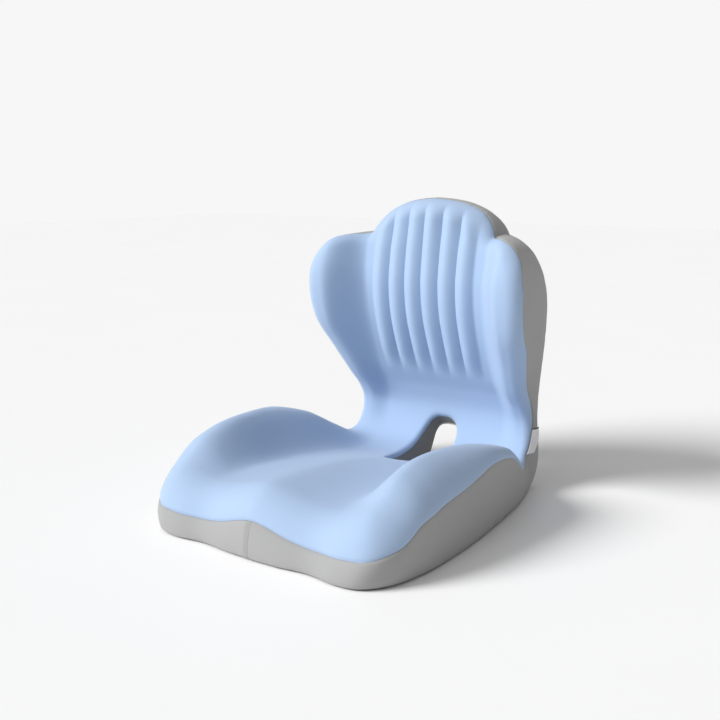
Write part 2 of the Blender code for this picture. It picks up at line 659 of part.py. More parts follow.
def zip_slider():
    """Two plates round the coils, joined by the post, with the arch for the pull."""
    x = slider_place()
    outer = REAR_Y - ZIP_SINK + GAP
    inner = REAR_Y - ZIP_SINK - CHAIN_THICK - GAP
    long, wide = SLIDER_LENGTH / 2, SLIDER_WIDTH / 2
    z = ZIP_HEIGHT
    slider = boxed("zip_slider", (x - long, outer, z - wide),
                   (x + long, outer + PLATE_THICK, z + wide))
    rear = boxed("slider_rear_plate", (x - long, inner - PLATE_THICK, z - wide),
                 (x + long, inner, z + wide))
    post = boxed("slider_post", (x - POST_LENGTH / 2, inner - PLATE_THICK / 2, z - POST_WIDTH / 2),
                 (x + POST_LENGTH / 2, outer + PLATE_THICK / 2, z + POST_WIDTH / 2))
    top = REAR_Y + BRIDGE_TOP
    arch = (BRIDGE_LENGTH / 2, BRIDGE_WIDTH / 2)
    crown = boxed("slider_arch", (x - arch[0], outer + PLATE_THICK / 2, z - arch[1]),
                  (x + arch[0], top, z + arch[1]))
    eye = boxed("slider_eye", (x - arch[0] + BRIDGE_BAR, outer + PLATE_THICK, z - 2 * arch[1]),
                (x + arch[0] - BRIDGE_BAR, top - BRIDGE_BAR, z + 2 * arch[1]))
    cut(crown, eye)
    for piece in (rear, post, crown):
        cut(slider, piece, "UNION")
    return x, (outer + PLATE_THICK + top - BRIDGE_BAR) / 2


def zip_pull(x, y):
    """The pull tab, hung by its pin under the slider's arch and lying flat."""
    z = ZIP_HEIGHT
    half, pin = PULL_WIDTH / 2, PULL_PIN / 2
    flat = PULL_THICK / 2
    tab = boxed("zip_pull", (-PULL_LENGTH, -flat, -half), (pin, flat, half))
    hole = boxed("pull_eye_guide", (-BRIDGE_LENGTH / 2 - 3 * GAP, -1, -half + PULL_ARM),
                 (-pin, 1, half - PULL_ARM))
    cut(tab, hole)
    for piece in (tab, hole):
        piece.location = (x, y, z)
    return tab


def side_tag():
    """A blank folded tag caught in the right-hand seam above the waist.

    It lies against the side band, so it follows the band's surface there.
    """
    seam, edge = SEAMS[1], SEAMS[2]
    spokes = np.arange(SEAT_SPOKES, SEAT_SPOKES + WING_SPOKES)
    strip = RINGS[np.ix_(spokes, np.arange(seam, edge + 1))]
    away = NORMALS[np.ix_(spokes, np.arange(seam, edge + 1))]
    heights = np.linspace(TAG_BOTTOM, TAG_BOTTOM + TAG_HEIGHT, TAG_ROWS)
    rows = []
    for height in heights:
        line = np.array([on_column(strip[:, j], away[:, j], height) for j in range(strip.shape[1])])
        run = run_lengths(line[:, :3])
        reach = np.linspace(GAP, TAG_WIDTH, TAG_COLUMNS)
        rows.append(np.stack([np.interp(reach, run, column) for column in line.T], axis=-1))
    rows = np.array(rows)
    inner = rows[..., :3] + TAG_LIFT * rows[..., 3:]
    outer = rows[..., :3] + (TAG_LIFT + TAG_THICK) * rows[..., 3:]
    return shell("side_tag", outer, inner, WHITE, False)


def on_column(points, normals, height):
    """The point and normal at a height on one upright line of the band."""
    point = [np.interp(height, points[:, 2], points[:, i]) for i in range(3)]
    normal = [np.interp(height, points[:, 2], normals[:, i]) for i in range(3)]
    return point + normal


def main():
    for item in list(bpy.data.objects):
        bpy.data.objects.remove(item)
    core = foam_core()
    back = cover_panels()
    zip_cutters(core, back)
    zip_chains()
    zip_pull(*zip_slider())
    side_tag()


main()
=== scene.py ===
"""A one-piece seat and back cushion: moulded foam in a zipped fabric cover.

The seat has raised side bolsters and a tailbone slot, and the back has wings and six
upright flutes. The cover is sewn from a light blue top panel, two grey side bands, a
slot lining, a back panel with a zip and a non-slip base. Everything is in metres, in
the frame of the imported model: the front edge towards -Y, +Z up, the floor at Z = 0.
"""
from __future__ import annotations

import logging
import math
from dataclasses import dataclass, field
from enum import Enum

import bmesh
import bpy
import numpy as np
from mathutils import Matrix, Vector, noise


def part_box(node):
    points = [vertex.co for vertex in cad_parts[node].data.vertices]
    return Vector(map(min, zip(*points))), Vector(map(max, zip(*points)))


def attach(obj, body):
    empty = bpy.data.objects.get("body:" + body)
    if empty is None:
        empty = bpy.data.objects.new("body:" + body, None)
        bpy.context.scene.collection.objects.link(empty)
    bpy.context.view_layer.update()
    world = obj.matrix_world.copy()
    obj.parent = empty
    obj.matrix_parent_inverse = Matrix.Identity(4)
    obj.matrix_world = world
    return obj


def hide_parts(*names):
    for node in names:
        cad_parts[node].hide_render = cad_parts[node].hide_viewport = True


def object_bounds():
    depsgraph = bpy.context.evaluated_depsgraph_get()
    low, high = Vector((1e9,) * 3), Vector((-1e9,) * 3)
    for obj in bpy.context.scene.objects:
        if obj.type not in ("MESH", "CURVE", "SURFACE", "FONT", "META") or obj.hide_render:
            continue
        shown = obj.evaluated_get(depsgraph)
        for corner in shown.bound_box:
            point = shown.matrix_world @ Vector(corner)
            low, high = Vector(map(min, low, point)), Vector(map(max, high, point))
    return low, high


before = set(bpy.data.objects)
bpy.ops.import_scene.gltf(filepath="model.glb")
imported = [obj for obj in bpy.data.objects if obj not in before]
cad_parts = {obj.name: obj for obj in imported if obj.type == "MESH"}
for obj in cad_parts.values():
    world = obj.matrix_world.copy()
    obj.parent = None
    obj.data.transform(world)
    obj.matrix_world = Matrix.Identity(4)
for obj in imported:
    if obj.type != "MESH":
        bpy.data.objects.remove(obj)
CAD_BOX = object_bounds()

log = logging.getLogger("cushion")
Rows = tuple[tuple[float, ...], ...]
Colour = tuple[float, float, float]

ROOT_BODY = "cushion"
SLIDER_BODY = "slider"
PULL_BODY = "pull"
DRAWN_WIDTH = 0.402814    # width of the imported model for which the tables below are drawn


# ---- curves ----------------------------------------------------------------------------
def run_lengths(points: np.ndarray) -> np.ndarray:
    """Distance along a line of points.

    Args:
        points: one point per row.

    Returns:
        The distance of each point from the first, along the line.
    """
    steps = np.linalg.norm(np.diff(points, axis=0), axis=1)
    return np.concatenate([[0.0], np.cumsum(steps)])


def smooth_line(rows: np.ndarray, steps: int = 24) -> np.ndarray:
    """A centripetal Catmull-Rom line.

    Args:
        rows: the points that the line passes through.
        steps: points on the line between two of them.

    Returns:
        The points of the line.
    """
    points = np.asarray(rows, dtype=float)
    ends = np.vstack([2 * points[0] - points[1], points, 2 * points[-1] - points[-2]])
    pieces = []
    for i in range(1, len(ends) - 2):
        a, b, c, d = ends[i - 1:i + 3]
        t1 = np.linalg.norm(b - a) ** 0.5
        t2 = t1 + np.linalg.norm(c - b) ** 0.5
        t3 = t2 + np.linalg.norm(d - c) ** 0.5
        t = np.linspace(t1, t2, steps, endpoint=False)[:, None]
        ab = (t1 - t) / t1 * a + t / t1 * b
        bc = (t2 - t) / (t2 - t1) * b + (t - t1) / (t2 - t1) * c
        cd = (t3 - t) / (t3 - t2) * c + (t - t2) / (t3 - t2) * d
        abc = (t2 - t) / t2 * ab + t / t2 * bc
        bcd = (t3 - t) / (t3 - t1) * bc + (t - t1) / (t3 - t1) * cd
        pieces.append((t2 - t) / (t2 - t1) * abc + (t - t1) / (t2 - t1) * bcd)
    pieces.append(points[-1:])
    return np.vstack(pieces)


def along(line: np.ndarray, fractions: np.ndarray) -> np.ndarray:
    """Points at fractions of the length of a line's first two columns.

    Args:
        line: the points of the line.
        fractions: places from 0 to 1.

    Returns:
        One row per place.
    """
    lengths = run_lengths(line[:, :2])
    wanted = np.asarray(fractions) * lengths[-1]
    return np.stack([np.interp(wanted, lengths, column) for column in line.T], axis=-1)


def table(rows: Rows, column: int, places: np.ndarray) -> np.ndarray:
    """A smooth value without overshoot, read from rows of numbers.

    Args:
        rows: the rows, each starting with its place.
        column: which number of a row is read.
        places: where it is read.

    Returns:
        The value at each place.
    """
    numbers = np.asarray(rows, dtype=float)
    x, y = numbers[:, 0], numbers[:, column]
    places = np.clip(places, x[0], x[-1])
    width = np.diff(x)
    rise = np.diff(y) / width
    slope = np.concatenate([rise[:1], np.zeros(len(x) - 2), rise[-1:]])
    for i in range(1, len(x) - 1):
        if rise[i - 1] * rise[i] > 0:
            before = 2 * width[i] + width[i - 1]
            after = width[i] + 2 * width[i - 1]
            slope[i] = (before + after) / (before / rise[i - 1] + after / rise[i])
    k = np.clip(np.searchsorted(x, places, side="right") - 1, 0, len(x) - 2)
    t = (places - x[k]) / width[k]
    ends = (2 * t**3 - 3 * t**2 + 1) * y[k] + (3 * t**2 - 2 * t**3) * y[k + 1]
    turns = (t**3 - 2 * t**2 + t) * slope[k] + (t**3 - t**2) * slope[k + 1]
    return ends + turns * width[k]


def ease(t: np.ndarray) -> np.ndarray:
    """0 to 1 with level ends."""
    t = np.clip(t, 0.0, 1.0)
    return t * t * (3 - 2 * t)


def unit(vectors: np.ndarray) -> np.ndarray:
    """The vectors at length 1."""
    return vectors / np.linalg.norm(vectors, axis=-1, keepdims=True)


class SideLine:
    """A line in the Y-Z plane, read by the distance along it."""

    def __init__(self, points: np.ndarray) -> None:
        """Keeps the line.

        Args:
            points: Y and Z of its points.
        """
        self.points = np.asarray(points, dtype=float)
        self.lengths = run_lengths(self.points)

    def at(self, places: np.ndarray) -> np.ndarray:
        """Y and Z at distances along the line.

        Args:
            places: the distances; beyond the ends the line runs straight on.

        Returns:
            One Y and Z for each.
        """
        places = np.asarray(places, dtype=float)
        inside = [np.interp(places, self.lengths, self.points[:, i]) for i in range(2)]
        before = np.minimum(places, 0.0)[..., None]
        after = np.maximum(places - self.lengths[-1], 0.0)[..., None]
        first = unit(self.points[1] - self.points[0])
        last = unit(self.points[-1] - self.points[-2])
        return np.stack(inside, axis=-1) + before * first + after * last

    def normal(self, places: np.ndarray, reach: float = 0.004) -> np.ndarray:
        """The direction to the left of the line's run.

        Args:
            places: distances along the line.
            reach: half the stretch whose direction counts.

        Returns:
            Y and Z of the direction at each place.
        """
        run = unit(self.at(np.asarray(places) + reach) - self.at(np.asarray(places) - reach))
        return np.stack([-run[..., 1], run[..., 0]], axis=-1)


# ---- the moulded shape -----------------------------------------------------------------
# Centre line of the top before its edges roll over: distance from the nose, height.
CENTRE_LINE: Rows = (
    (0.000, 0.086), (0.060, 0.089), (0.130, 0.086), (0.200, 0.078), (0.265, 0.065),
    (0.320, 0.052), (0.370, 0.046), (0.410, 0.053), (0.435, 0.075), (0.443, 0.105),
    (0.433, 0.135), (0.415, 0.163), (0.395, 0.205), (0.377, 0.255), (0.371, 0.300),
    (0.374, 0.340), (0.379, 0.380), (0.385, 0.425),
)
# Cross-sections along it: place, side distance and height of the valley, then of the
# bolster or wing.
SECTIONS: Rows = (
    (0.000, 0.096, -0.019, 0.165, -0.016), (0.045, 0.094, -0.018, 0.165, 0.000),
    (0.087, 0.092, -0.016, 0.162, 0.028), (0.120, 0.090, -0.014, 0.162, 0.040),
    (0.160, 0.088, -0.012, 0.164, 0.045), (0.200, 0.086, -0.009, 0.168, 0.047),
    (0.240, 0.084, -0.006, 0.170, 0.048), (0.300, 0.084, -0.002, 0.168, 0.045),
    (0.360, 0.090, 0.000, 0.156, 0.027), (0.420, 0.100, 0.000, 0.140, 0.002),
    (0.460, 0.100, 0.001, 0.134, 0.008), (0.500, 0.098, 0.001, 0.132, 0.014),
    (0.540, 0.096, 0.001, 0.134, 0.020), (0.600, 0.096, 0.000, 0.144, 0.030),
    (0.650, 0.097, -0.002, 0.150, 0.043), (0.700, 0.098, -0.003, 0.150, 0.046),
    (0.740, 0.100, -0.005, 0.150, 0.036), (0.770, 0.102, -0.010, 0.150, 0.022),
    (0.815, 0.108, -0.014, 0.160, 0.012),
)
# Right half of the outline: side distance and place of a point of the seam under the top
# panel, then of the point of the lower or rear edge behind it.
SEAT_OUTLINE: Rows = (
    (0.000, 0.000, 0.000, -0.009), (0.045, 0.002, 0.042, -0.007),
    (0.090, 0.005, 0.085, -0.002), (0.135, 0.001, 0.130, -0.007),
    (0.168, 0.006, 0.160, -0.001), (0.189, 0.032, 0.184, 0.028),
    (0.199, 0.080, 0.197, 0.080), (0.201, 0.130, 0.199, 0.130),
    (0.201, 0.190, 0.197, 0.190), (0.198, 0.250, 0.192, 0.250),
    (0.190, 0.310, 0.184, 0.310), (0.175, 0.370, 0.174, 0.370),
    (0.152, 0.428, 0.160, 0.425),
)
WING_OUTLINE: Rows = (
    (0.152, 0.428, 0.160, 0.425), (0.151, 0.460, 0.157, 0.475),
    (0.153, 0.500, 0.152, 0.535), (0.157, 0.540, 0.152, 0.580),
    (0.166, 0.580, 0.155, 0.622), (0.175, 0.620, 0.158, 0.660),
    (0.180, 0.660, 0.160, 0.700), (0.180, 0.697, 0.159, 0.738),
    (0.172, 0.729, 0.152, 0.770), (0.155, 0.750, 0.138, 0.796),
    (0.131, 0.760, 0.119, 0.812), (0.105, 0.765, 0.100, 0.820),
)
CROWN_OUTLINE: Rows = (
    (0.105, 0.765, 0.100, 0.820), (0.096, 0.782, 0.091, 0.836),
    (0.079, 0.800, 0.073, 0.850), (0.053, 0.812, 0.048, 0.860),
    (0.027, 0.817, 0.025, 0.864), (0.000, 0.819, 0.000, 0.866),
)
# How far the top rolls down to that seam: fraction of the seam's run, drop.
SEAT_ROLL: Rows = (
    (0.00, 0.045), (0.25, 0.045), (0.38, 0.049), (0.46, 0.060), (0.54, 0.055), (0.60, 0.044),
    (0.68, 0.024), (0.75, 0.016), (0.83, 0.013), (0.93, 0.012), (1.00, 0.008),
)
WING_ROLL: Rows = ((0.00, 0.008), (0.15, 0.013), (0.50, 0.020), (0.80, 0.020), (1.00, 0.018))
CROWN_ROLL: Rows = ((0.00, 0.018), (0.40, 0.027), (1.00, 0.032))


@dataclass
class Loops:
    """The body's surface as a grid: one row per spoke, one column per ring round it."""

    points: np.ndarray
    patterns: list[np.ndarray]
    seams: list[int]
    normals: np.ndarray = field(default_factory=lambda: np.zeros(0))


@dataclass
class Shape:
    """The moulded shape, laid out as spokes from the tailbone slot to the outer seam."""

    rear: float
    half_width: float
    height: float = 0.425
    depth: float = 0.465
    rear_corner: float = 0.050
    rear_lean: float = 0.017
    lean_start: float = 0.60
    slot_front: float = 0.300
    slot_length: float = 0.164
    slot_half_width: float = 0.036
    slot_roll: float = 0.008
    slot_taper: float = 0.33
    slot_point: float = 0.95
    slot_square: float = 0.30
    slot_blunt: float = 0.12
    exit_front: float = 0.345
    exit_length: float = 0.170
    flutes: int = 6
    ridge_power: float = 0.75
    flute_pitch: float = 0.0287
    flute_depth: float = 0.0085
    flute_start: float = 0.535
    flute_fade: float = 0.060
    flute_round: float = 0.95
    flute_end: float = 0.004
    flute_end_fade: float = 0.026
    base_round: float = 0.009
    band_bulge: float = 0.005
    band_shoulder: float = 0.6
    roll_steepness: float = 0.985
    way: float = 0.30
    way_bulge: float = 0.010
    under_bend: float = 0.600
    waist_angle: float = 15.0
    notch_angle: float = 42.0
    seat_spread: float = 1.15
    seat_spokes: int = 72
    wing_spokes: int = 54
    crease_steps: int = 16
    middle_rings: int = 74
    band_rings: int = 22
    base_rings: int = 26
    lining_rings: int = 14
    line_run: float = 0.8162
    under_run: float = 0.8697
    line_half: float = 0.201
    seam_steps: tuple[float, ...] = (0.0, 0.0004, 0.0009, 0.0016, 0.0026, 0.0040, 0.0062)
    rim_steps: tuple[float, ...] = (0.0, 0.0002, 0.0006, 0.0012, 0.0021, 0.0034, 0.0050, 0.0070)
    roll_angles: tuple[float, ...] = (
        90, 80, 71, 62.5, 54.5, 47, 40, 33.5, 27.5, 22, 17, 12.8, 9.4, 6.6, 4.3, 2.6, 1.3, 0.0,
    )
    seam_depth: float = 0.0010
    seam_width: float = 0.0019
    pucker: float = 0.00016
    pucker_fade: float = 0.009
    pucker_waves: tuple[float, float] = (640.0, 413.0)
    sway: float = 0.00045
    sway_scale: float = 17.0

    def __post_init__(self) -> None:
        """Draws the side lines and the outer seam."""
        self.top_line = SideLine(smooth_line(np.array(CENTRE_LINE)))
        turn = np.radians(np.linspace(-90, 0, 64))
        hub = np.array([self.depth - self.rear_corner, self.rear_corner])
        corner = hub + self.rear_corner * np.stack([np.cos(turn), np.sin(turn)], axis=-1)
        rise = np.linspace(self.lean_start, 1, 24)
        lean = self.rear_lean * ((rise - self.lean_start) / (1 - self.lean_start)) ** 2
        upper = np.stack([self.depth - lean, self.height * rise], axis=-1)
        self.under_line = SideLine(np.vstack([[(0.0, 0.0)], corner, upper]))
        self.top_scale = self.top_line.lengths[-1] / self.line_run
        self.under_scale = self.under_line.lengths[-1] / self.under_run
        self.side_scale = self.half_width / self.line_half
        self.seam, self.seam_roll = self.seam_outline()
        self.shift = np.array([0.0, self.rear - self.depth, 0.0])

    def outline(self, rows: Rows, steps: int = 24) -> np.ndarray:
        """A smooth outline at the real size.

        Args:
            rows: one of the outlines above.
            steps: points between two rows.

        Returns:
            Seam side and place, edge side and place, one row per point.
        """
        scale = [self.side_scale, self.top_scale, self.side_scale, self.under_scale]
        return smooth_line(np.array(rows) * scale, steps)

    def seam_outline(self) -> tuple[np.ndarray, np.ndarray]:
        """The right half of the seam under the top panel.

        Returns:
            Its points, and the drop of the top at each.
        """
        points, rolls = [], []
        parts = ((SEAT_OUTLINE, SEAT_ROLL), (WING_OUTLINE, WING_ROLL), (CROWN_OUTLINE, CROWN_ROLL))
        for rows, roll in parts:
            line = self.outline(rows, 12)[:, :2]
            share = run_lengths(line) / run_lengths(line)[-1]
            skip = 1 if points else 0
            points.append(line[skip:])
            rolls.append(table(roll, 1, share)[skip:])
        return np.vstack(points), np.concatenate(rolls)

    def edge_distance(self, x: np.ndarray, s: np.ndarray) -> tuple[np.ndarray, np.ndarray]:
        """How far places on the laid-out top are from its seam.

        Args:
            x: side distances.
            s: places along the centre line.

        Returns:
            The distances, and the drop of the top at the seam there.
        """
        spot = np.stack([np.abs(x), s], axis=-1)
        nearest = np.full(x.shape, 9.0)
        roll = np.zeros(x.shape)
        for i in range(len(self.seam) - 1):
            start, run = self.seam[i], self.seam[i + 1] - self.seam[i]
            t = np.clip(((spot - start) @ run) / (run @ run), 0, 1)
            away = np.linalg.norm(spot - start - t[..., None] * run, axis=-1)
            closer = away < nearest
            nearest = np.where(closer, away, nearest)
            here = self.seam_roll[i] + (self.seam_roll[i + 1] - self.seam_roll[i]) * t
            roll = np.where(closer, here, roll)
        return nearest, roll

    def rolled(self, distance: np.ndarray, radius: np.ndarray | float) -> np.ndarray:
        """How far a rounded edge has dropped.

        Args:
            distance: how far from the edge's end.
            radius: the edge's radius.

        Returns:
            The drop.
        """
        inward = self.roll_steepness * np.clip(1 - distance / radius, 0, 1)
        return radius * (1 - np.sqrt(1 - inward**2))

    def section_height(self, x: np.ndarray, s: np.ndarray) -> np.ndarray:
        """Valleys, bolsters and wings above the centre line.

        Args:
            x: side distances.
            s: places along the centre line.

        Returns:
            The height at each.
        """
        across = np.abs(x) / self.side_scale
        place = s / self.top_scale
        valley_at, valley, crest_at, crest = [table(SECTIONS, i, place) for i in (1, 2, 3, 4)]
        inner = (0.5 - 0.5 * np.cos(np.pi * np.clip(across / valley_at, 0, 1))) ** self.ridge_power
        outer = np.clip((across - valley_at) / (crest_at - valley_at), 0, 1)
        return valley * inner + (crest - valley) * (0.5 - 0.5 * np.cos(np.pi * outer))

    def flute_height(self, x: np.ndarray, s: np.ndarray, distance: np.ndarray) -> np.ndarray:
        """Rounded flutes with narrow creases, fading out at both ends.

        Args:
            x: side distances.
            s: places along the centre line.
            distance: how far each place is from the seam.

        Returns:
            The height of the flutes at each.
        """
        step = np.abs(x) / self.flute_pitch
        phase = 2 * np.abs(step - np.round(step))
        phase = np.where(step > self.flutes / 2, 0.0, phase)
        crest = np.sin(np.pi / 2 * phase) ** self.flute_round
        start = ease((s - self.flute_start * self.top_scale) / self.flute_fade)
        end = ease((distance - self.flute_end) / self.flute_end_fade)
        return self.flute_depth * crest * start * end

    def slot_rim(self, angles: np.ndarray, front: float, length: float) -> np.ndarray:
        """An egg-shaped hole, blunt towards the back.

        Args:
            angles: where its points lie, from the front tip's -90 degrees.
            front: place of the front tip.
            length: tip to tip.

        Returns:
            Side and place of each point.
        """
        side, run = np.cos(angles), np.sin(angles)
        blunt = ease(0.5 + 0.5 * run)
        power = self.slot_point - self.slot_square * blunt
        x = self.slot_half_width * np.sign(side) * np.abs(side) ** power
        x = x * (1 - self.slot_taper + self.slot_taper * blunt)
        s = front + length / 2 * (1 + np.sign(run) * np.abs(run) ** (1 - self.slot_blunt * blunt))
        return np.stack([x, s], axis=-1)

    def top_points(self, x: np.ndarray, s: np.ndarray, from_rim: np.ndarray) -> np.ndarray:
        """Points of the top.

        Args:
            x: side distances.
            s: places along the centre line.
            from_rim: distances from the slot's rim.

        Returns:
            The points.
        """
        distance, roll = self.edge_distance(x, s)
        height = self.section_height(x, s) + self.flute_height(x, s, distance)
        height = height - self.rolled(distance, roll) - self.rolled(from_rim, self.slot_roll)
        yz = self.top_line.at(s) + self.top_line.normal(s) * height[..., None]
        return np.concatenate([x[..., None], yz], axis=-1)

    def under_points(self, x: np.ndarray, s: np.ndarray) -> np.ndarray:
        """Points of the base and the rear face at side distances and places."""
        return np.concatenate([x[..., None], self.under_line.at(s)], axis=-1)

    def half_spokes(self) -> tuple[np.ndarray, np.ndarray, np.ndarray]:
        """The spokes of the right half, from the nose to the crown.

        Returns:
            Seam point, edge point and slot angle of each.
        """
        seat = np.arange(self.seat_spokes) / self.seat_spokes
        wing = np.arange(self.wing_spokes) / self.wing_spokes
        line = self.outline(CROWN_OUTLINE)[:, :2]
        share = run_lengths(line) / run_lengths(line)[-1]
        count = self.flutes // 2 * self.crease_steps
        creases = np.arange(count, -1, -1) / self.crease_steps * self.flute_pitch
        crown = np.interp(-creases, -line[:, 0], share)
        lead = np.linspace(0, 1, 9, endpoint=False) * crown[0]
        crown = np.concatenate([lead, crown])
        parts = ((SEAT_OUTLINE, seat), (WING_OUTLINE, wing), (CROWN_OUTLINE, crown))
        points = np.vstack([along(self.outline(rows), places) for rows, places in parts])
        angle = np.concatenate([
            -90 + (self.waist_angle + 90) * seat**self.seat_spread,
            self.waist_angle + (self.notch_angle - self.waist_angle) * wing,
            self.notch_angle + (90 - self.notch_angle) * crown,
        ])
        return points[:, :2], points[:, 2:], np.radians(angle)

    def waypoints(self, start: np.ndarray, end: np.ndarray, level: float) -> np.ndarray:
        """Where the spokes bend, so that the crown's run upright along the flutes.

        Args:
            start: inner ends of the right half's spokes.
            end: their outer ends.
            level: place of the bends below the crown.

        Returns:
            Side and place of each bend.
        """
        ways = start + self.way * (end - start)
        notch = self.seat_spokes + self.wing_spokes
        ways[notch:, 0] = end[notch:, 0]
        ways[notch:, 1] = level
        wing = np.arange(self.wing_spokes)[:, None] / self.wing_spokes
        ways[self.seat_spokes:notch] = (1 - wing) * ways[self.seat_spokes] + wing * ways[notch]
        ways[self.seat_spokes:notch] += self.way_bulge * np.sin(np.pi * wing) * (1, -1)
        return ways

    @staticmethod
    def whole_loop(half: np.ndarray) -> np.ndarray:
        """The right half followed by its mirror image."""
        return np.concatenate([half, half[::-1][1:-1] * (-1, 1)])

    @staticmethod
    def spread(start: np.ndarray, way: np.ndarray, end: np.ndarray, run: np.ndarray) -> np.ndarray:
        """Points at distances along spokes that bend.

        Args:
            start: inner end of each spoke.
            way: its bend.
            end: its outer end.
            run: distances along each spoke, one column per ring.

        Returns:
            Side and place of each point.
        """
        first = np.linalg.norm(way - start, axis=1)[:, None]
        second = np.linalg.norm(end - way, axis=1)[:, None]
        inner = np.clip(run / first, 0, 1)[..., None]
        outer = np.clip((run - first) / second, 0, 1)[..., None]
        return start[:, None] + (way - start)[:, None] * inner + (end - way)[:, None] * outer

    @staticmethod
    def stations(low: np.ndarray, high: np.ndarray, count: int) -> np.ndarray:
        """Evenly spaced distances strictly between two columns of distances."""
        t = np.arange(1, count + 1)[None] / (count + 1)
        return low[:, None] * (1 - t) + high[:, None] * t

    def top_rings(self, rim: np.ndarray, way: np.ndarray, seam: np.ndarray) -> np.ndarray:
        """Distances of the rings along each spoke of the top.

        Args:
            rim: inner end of each spoke.
            way: its bend.
            seam: its outer end.

        Returns:
            One row of distances per spoke.
        """
        total = np.linalg.norm(way - rim, axis=1) + np.linalg.norm(seam - way, axis=1)
        roll = self.edge_distance(seam[:, 0], seam[:, 1])[1]
        turned = 1 - np.cos(np.radians(self.roll_angles))
        outer = total[:, None] - roll[:, None] * turned
        rims = np.ones((len(rim), 1)) * np.array(self.rim_steps)
        return np.hstack([rims, self.stations(rims[:, -1], outer[:, 0], self.middle_rings), outer])

    def loops(self) -> Loops:
        """The whole surface of the body.

        Returns:
            The grid, with the ring numbers of its four seams.
        """
        seam, edge, angle = self.half_spokes()
        rim = self.slot_rim(angle, self.slot_front * self.top_scale, self.slot_length)
        leave = self.slot_rim(angle, self.exit_front * self.under_scale, self.exit_length)
        way = self.waypoints(rim, seam, self.flute_start * self.top_scale)
        bend = self.waypoints(leave, edge, self.under_bend * self.under_scale)
        seam, edge, rim, leave, way, bend = [
            self.whole_loop(half) for half in (seam, edge, rim, leave, way, bend)
        ]
        run = self.top_rings(rim, way, seam)
        top_flat = self.spread(rim, way, seam, run)
        top = self.top_points(top_flat[..., 0], top_flat[..., 1], run)

        steps = np.ones((len(rim), 1)) * np.array(self.seam_steps)
        total = np.linalg.norm(bend - leave, axis=1) + np.linalg.norm(edge - bend, axis=1)
        inner = total[:, None] - self.base_round - steps
        outer = steps[:, ::-1]
        run = np.hstack([inner, self.stations(inner[:, -1], outer[:, 0], self.base_rings), outer])
        base_flat = self.spread(leave, bend, edge, run)
        base = self.under_points(base_flat[..., 0], base_flat[..., 1])

        brink = self.under_points(edge[:, 0], edge[:, 1])
        outward = unit(brink - base[:, 0])
        shoulder = self.band_shoulder * top[:, -1] + (1 - self.band_shoulder) * brink
        shoulder = shoulder + outward * self.band_bulge
        first = steps / (3 * np.linalg.norm(shoulder - top[:, -1], axis=1)[:, None])
        last = 1 - steps[:, ::-1] / (3 * np.linalg.norm(base[:, 0] - brink, axis=1)[:, None])
        t = np.hstack([first, self.stations(first[:, -1], last[:, 0], self.band_rings), last])
        t = t[..., None]
        band = (1 - t)**3 * top[:, -1:] + 3 * (1 - t)**2 * t * shoulder[:, None]
        band = band + 3 * (1 - t) * t**2 * brink[:, None] + t**3 * base[:, :1]

        t = np.linspace(0, 1, self.lining_rings)[None, :, None]
        lining = (1 - t) * base[:, -1:] + t * top[:, :1]
        points = np.concatenate([top, band[:, 1:], base[:, 1:], lining[:, 1:-1]], axis=1)
        seams = list(np.cumsum([0, top.shape[1] - 1, band.shape[1] - 1, base.shape[1] - 1]))
        patterns = [top_flat, self.strip_pattern(band), base_flat, self.strip_pattern(lining)]
        return Loops(points, patterns, [*map(int, seams), points.shape[1]])

    @staticmethod
    def strip_pattern(strip: np.ndarray) -> np.ndarray:
        """Lengths along and across a strip, for the weave to follow."""
        middle = strip[:, strip.shape[1] // 2]
        along_strip = run_lengths(np.vstack([middle, middle[:1]]))[:-1]
        steps = np.linalg.norm(np.diff(strip, axis=1), axis=2).mean(axis=0)
        across = np.concatenate([[0.0], np.cumsum(steps)])
        return np.stack(np.broadcast_arrays(along_strip[:, None], across[None]), axis=-1)

    @staticmethod
    def outward_normals(points: np.ndarray, even: int = 1) -> np.ndarray:
        """The direction away from the foam.

        Args:
            points: the grid.
            even: how often the directions are evened out between neighbours.

        Returns:
            One direction per point.
        """
        total = np.zeros(points.shape)
        for row_step, ring_step in ((1, 1), (1, -1), (-1, 1), (-1, -1)):
            along_row = np.roll(points, -row_step, axis=0) - points
            along_ring = np.roll(points, -ring_step, axis=1) - points
            normal = np.cross(along_ring, along_row) * row_step * ring_step
            size = np.linalg.norm(normal, axis=-1, keepdims=True)
            total += normal / np.maximum(size, 1e-12)
        for _ in range(even):
            for axis in (0, 1):
                total = 2 * total + np.roll(total, 1, axis=axis) + np.roll(total, -1, axis=axis)
        return unit(total)

    def sewn(self) -> Loops:
        """The surface with its seams pulled in and the give of real cloth.

        Returns:
            The grid in the object's frame, with its normals.
        """
        body = self.loops()
        normals = self.outward_normals(body.points)
        steps = np.linalg.norm(np.diff(body.points, axis=1), axis=2)
        place = np.concatenate([np.zeros((len(steps), 1)), np.cumsum(steps, axis=1)], axis=1)
        sink = np.zeros(place.shape)
        for ring in body.seams[1:4]:
            away = np.abs(place - place[:, ring:ring + 1])
            groove = np.exp(-(away / self.seam_width) ** 2)
            pull = self.pucker * np.exp(-away / self.pucker_fade) * (1 - groove)
            around = run_lengths(body.points[:, ring])[:, None]
            short, long = self.pucker_waves
            ripple = np.sin(around * short) + 0.6 * np.sin(around * long + 1.3)
            sink += self.seam_depth * groove + pull * ripple
        flat = body.points.reshape(-1, 3)
        give = np.array([noise.noise(Vector(point) * self.sway_scale) for point in flat])
        give = give.reshape(sink.shape) * self.sway
        points = body.points + normals * (give - sink)[..., None] + self.shift
        return Loops(points, body.patterns, body.seams, self.outward_normals(points, 2))


# ---- finishes --------------------------------------------------------------------------
class Weave(Enum):
    """How a cloth is made."""

    KNIT = "knit"
    TWILL = "twill"
    TAPE = "tape"


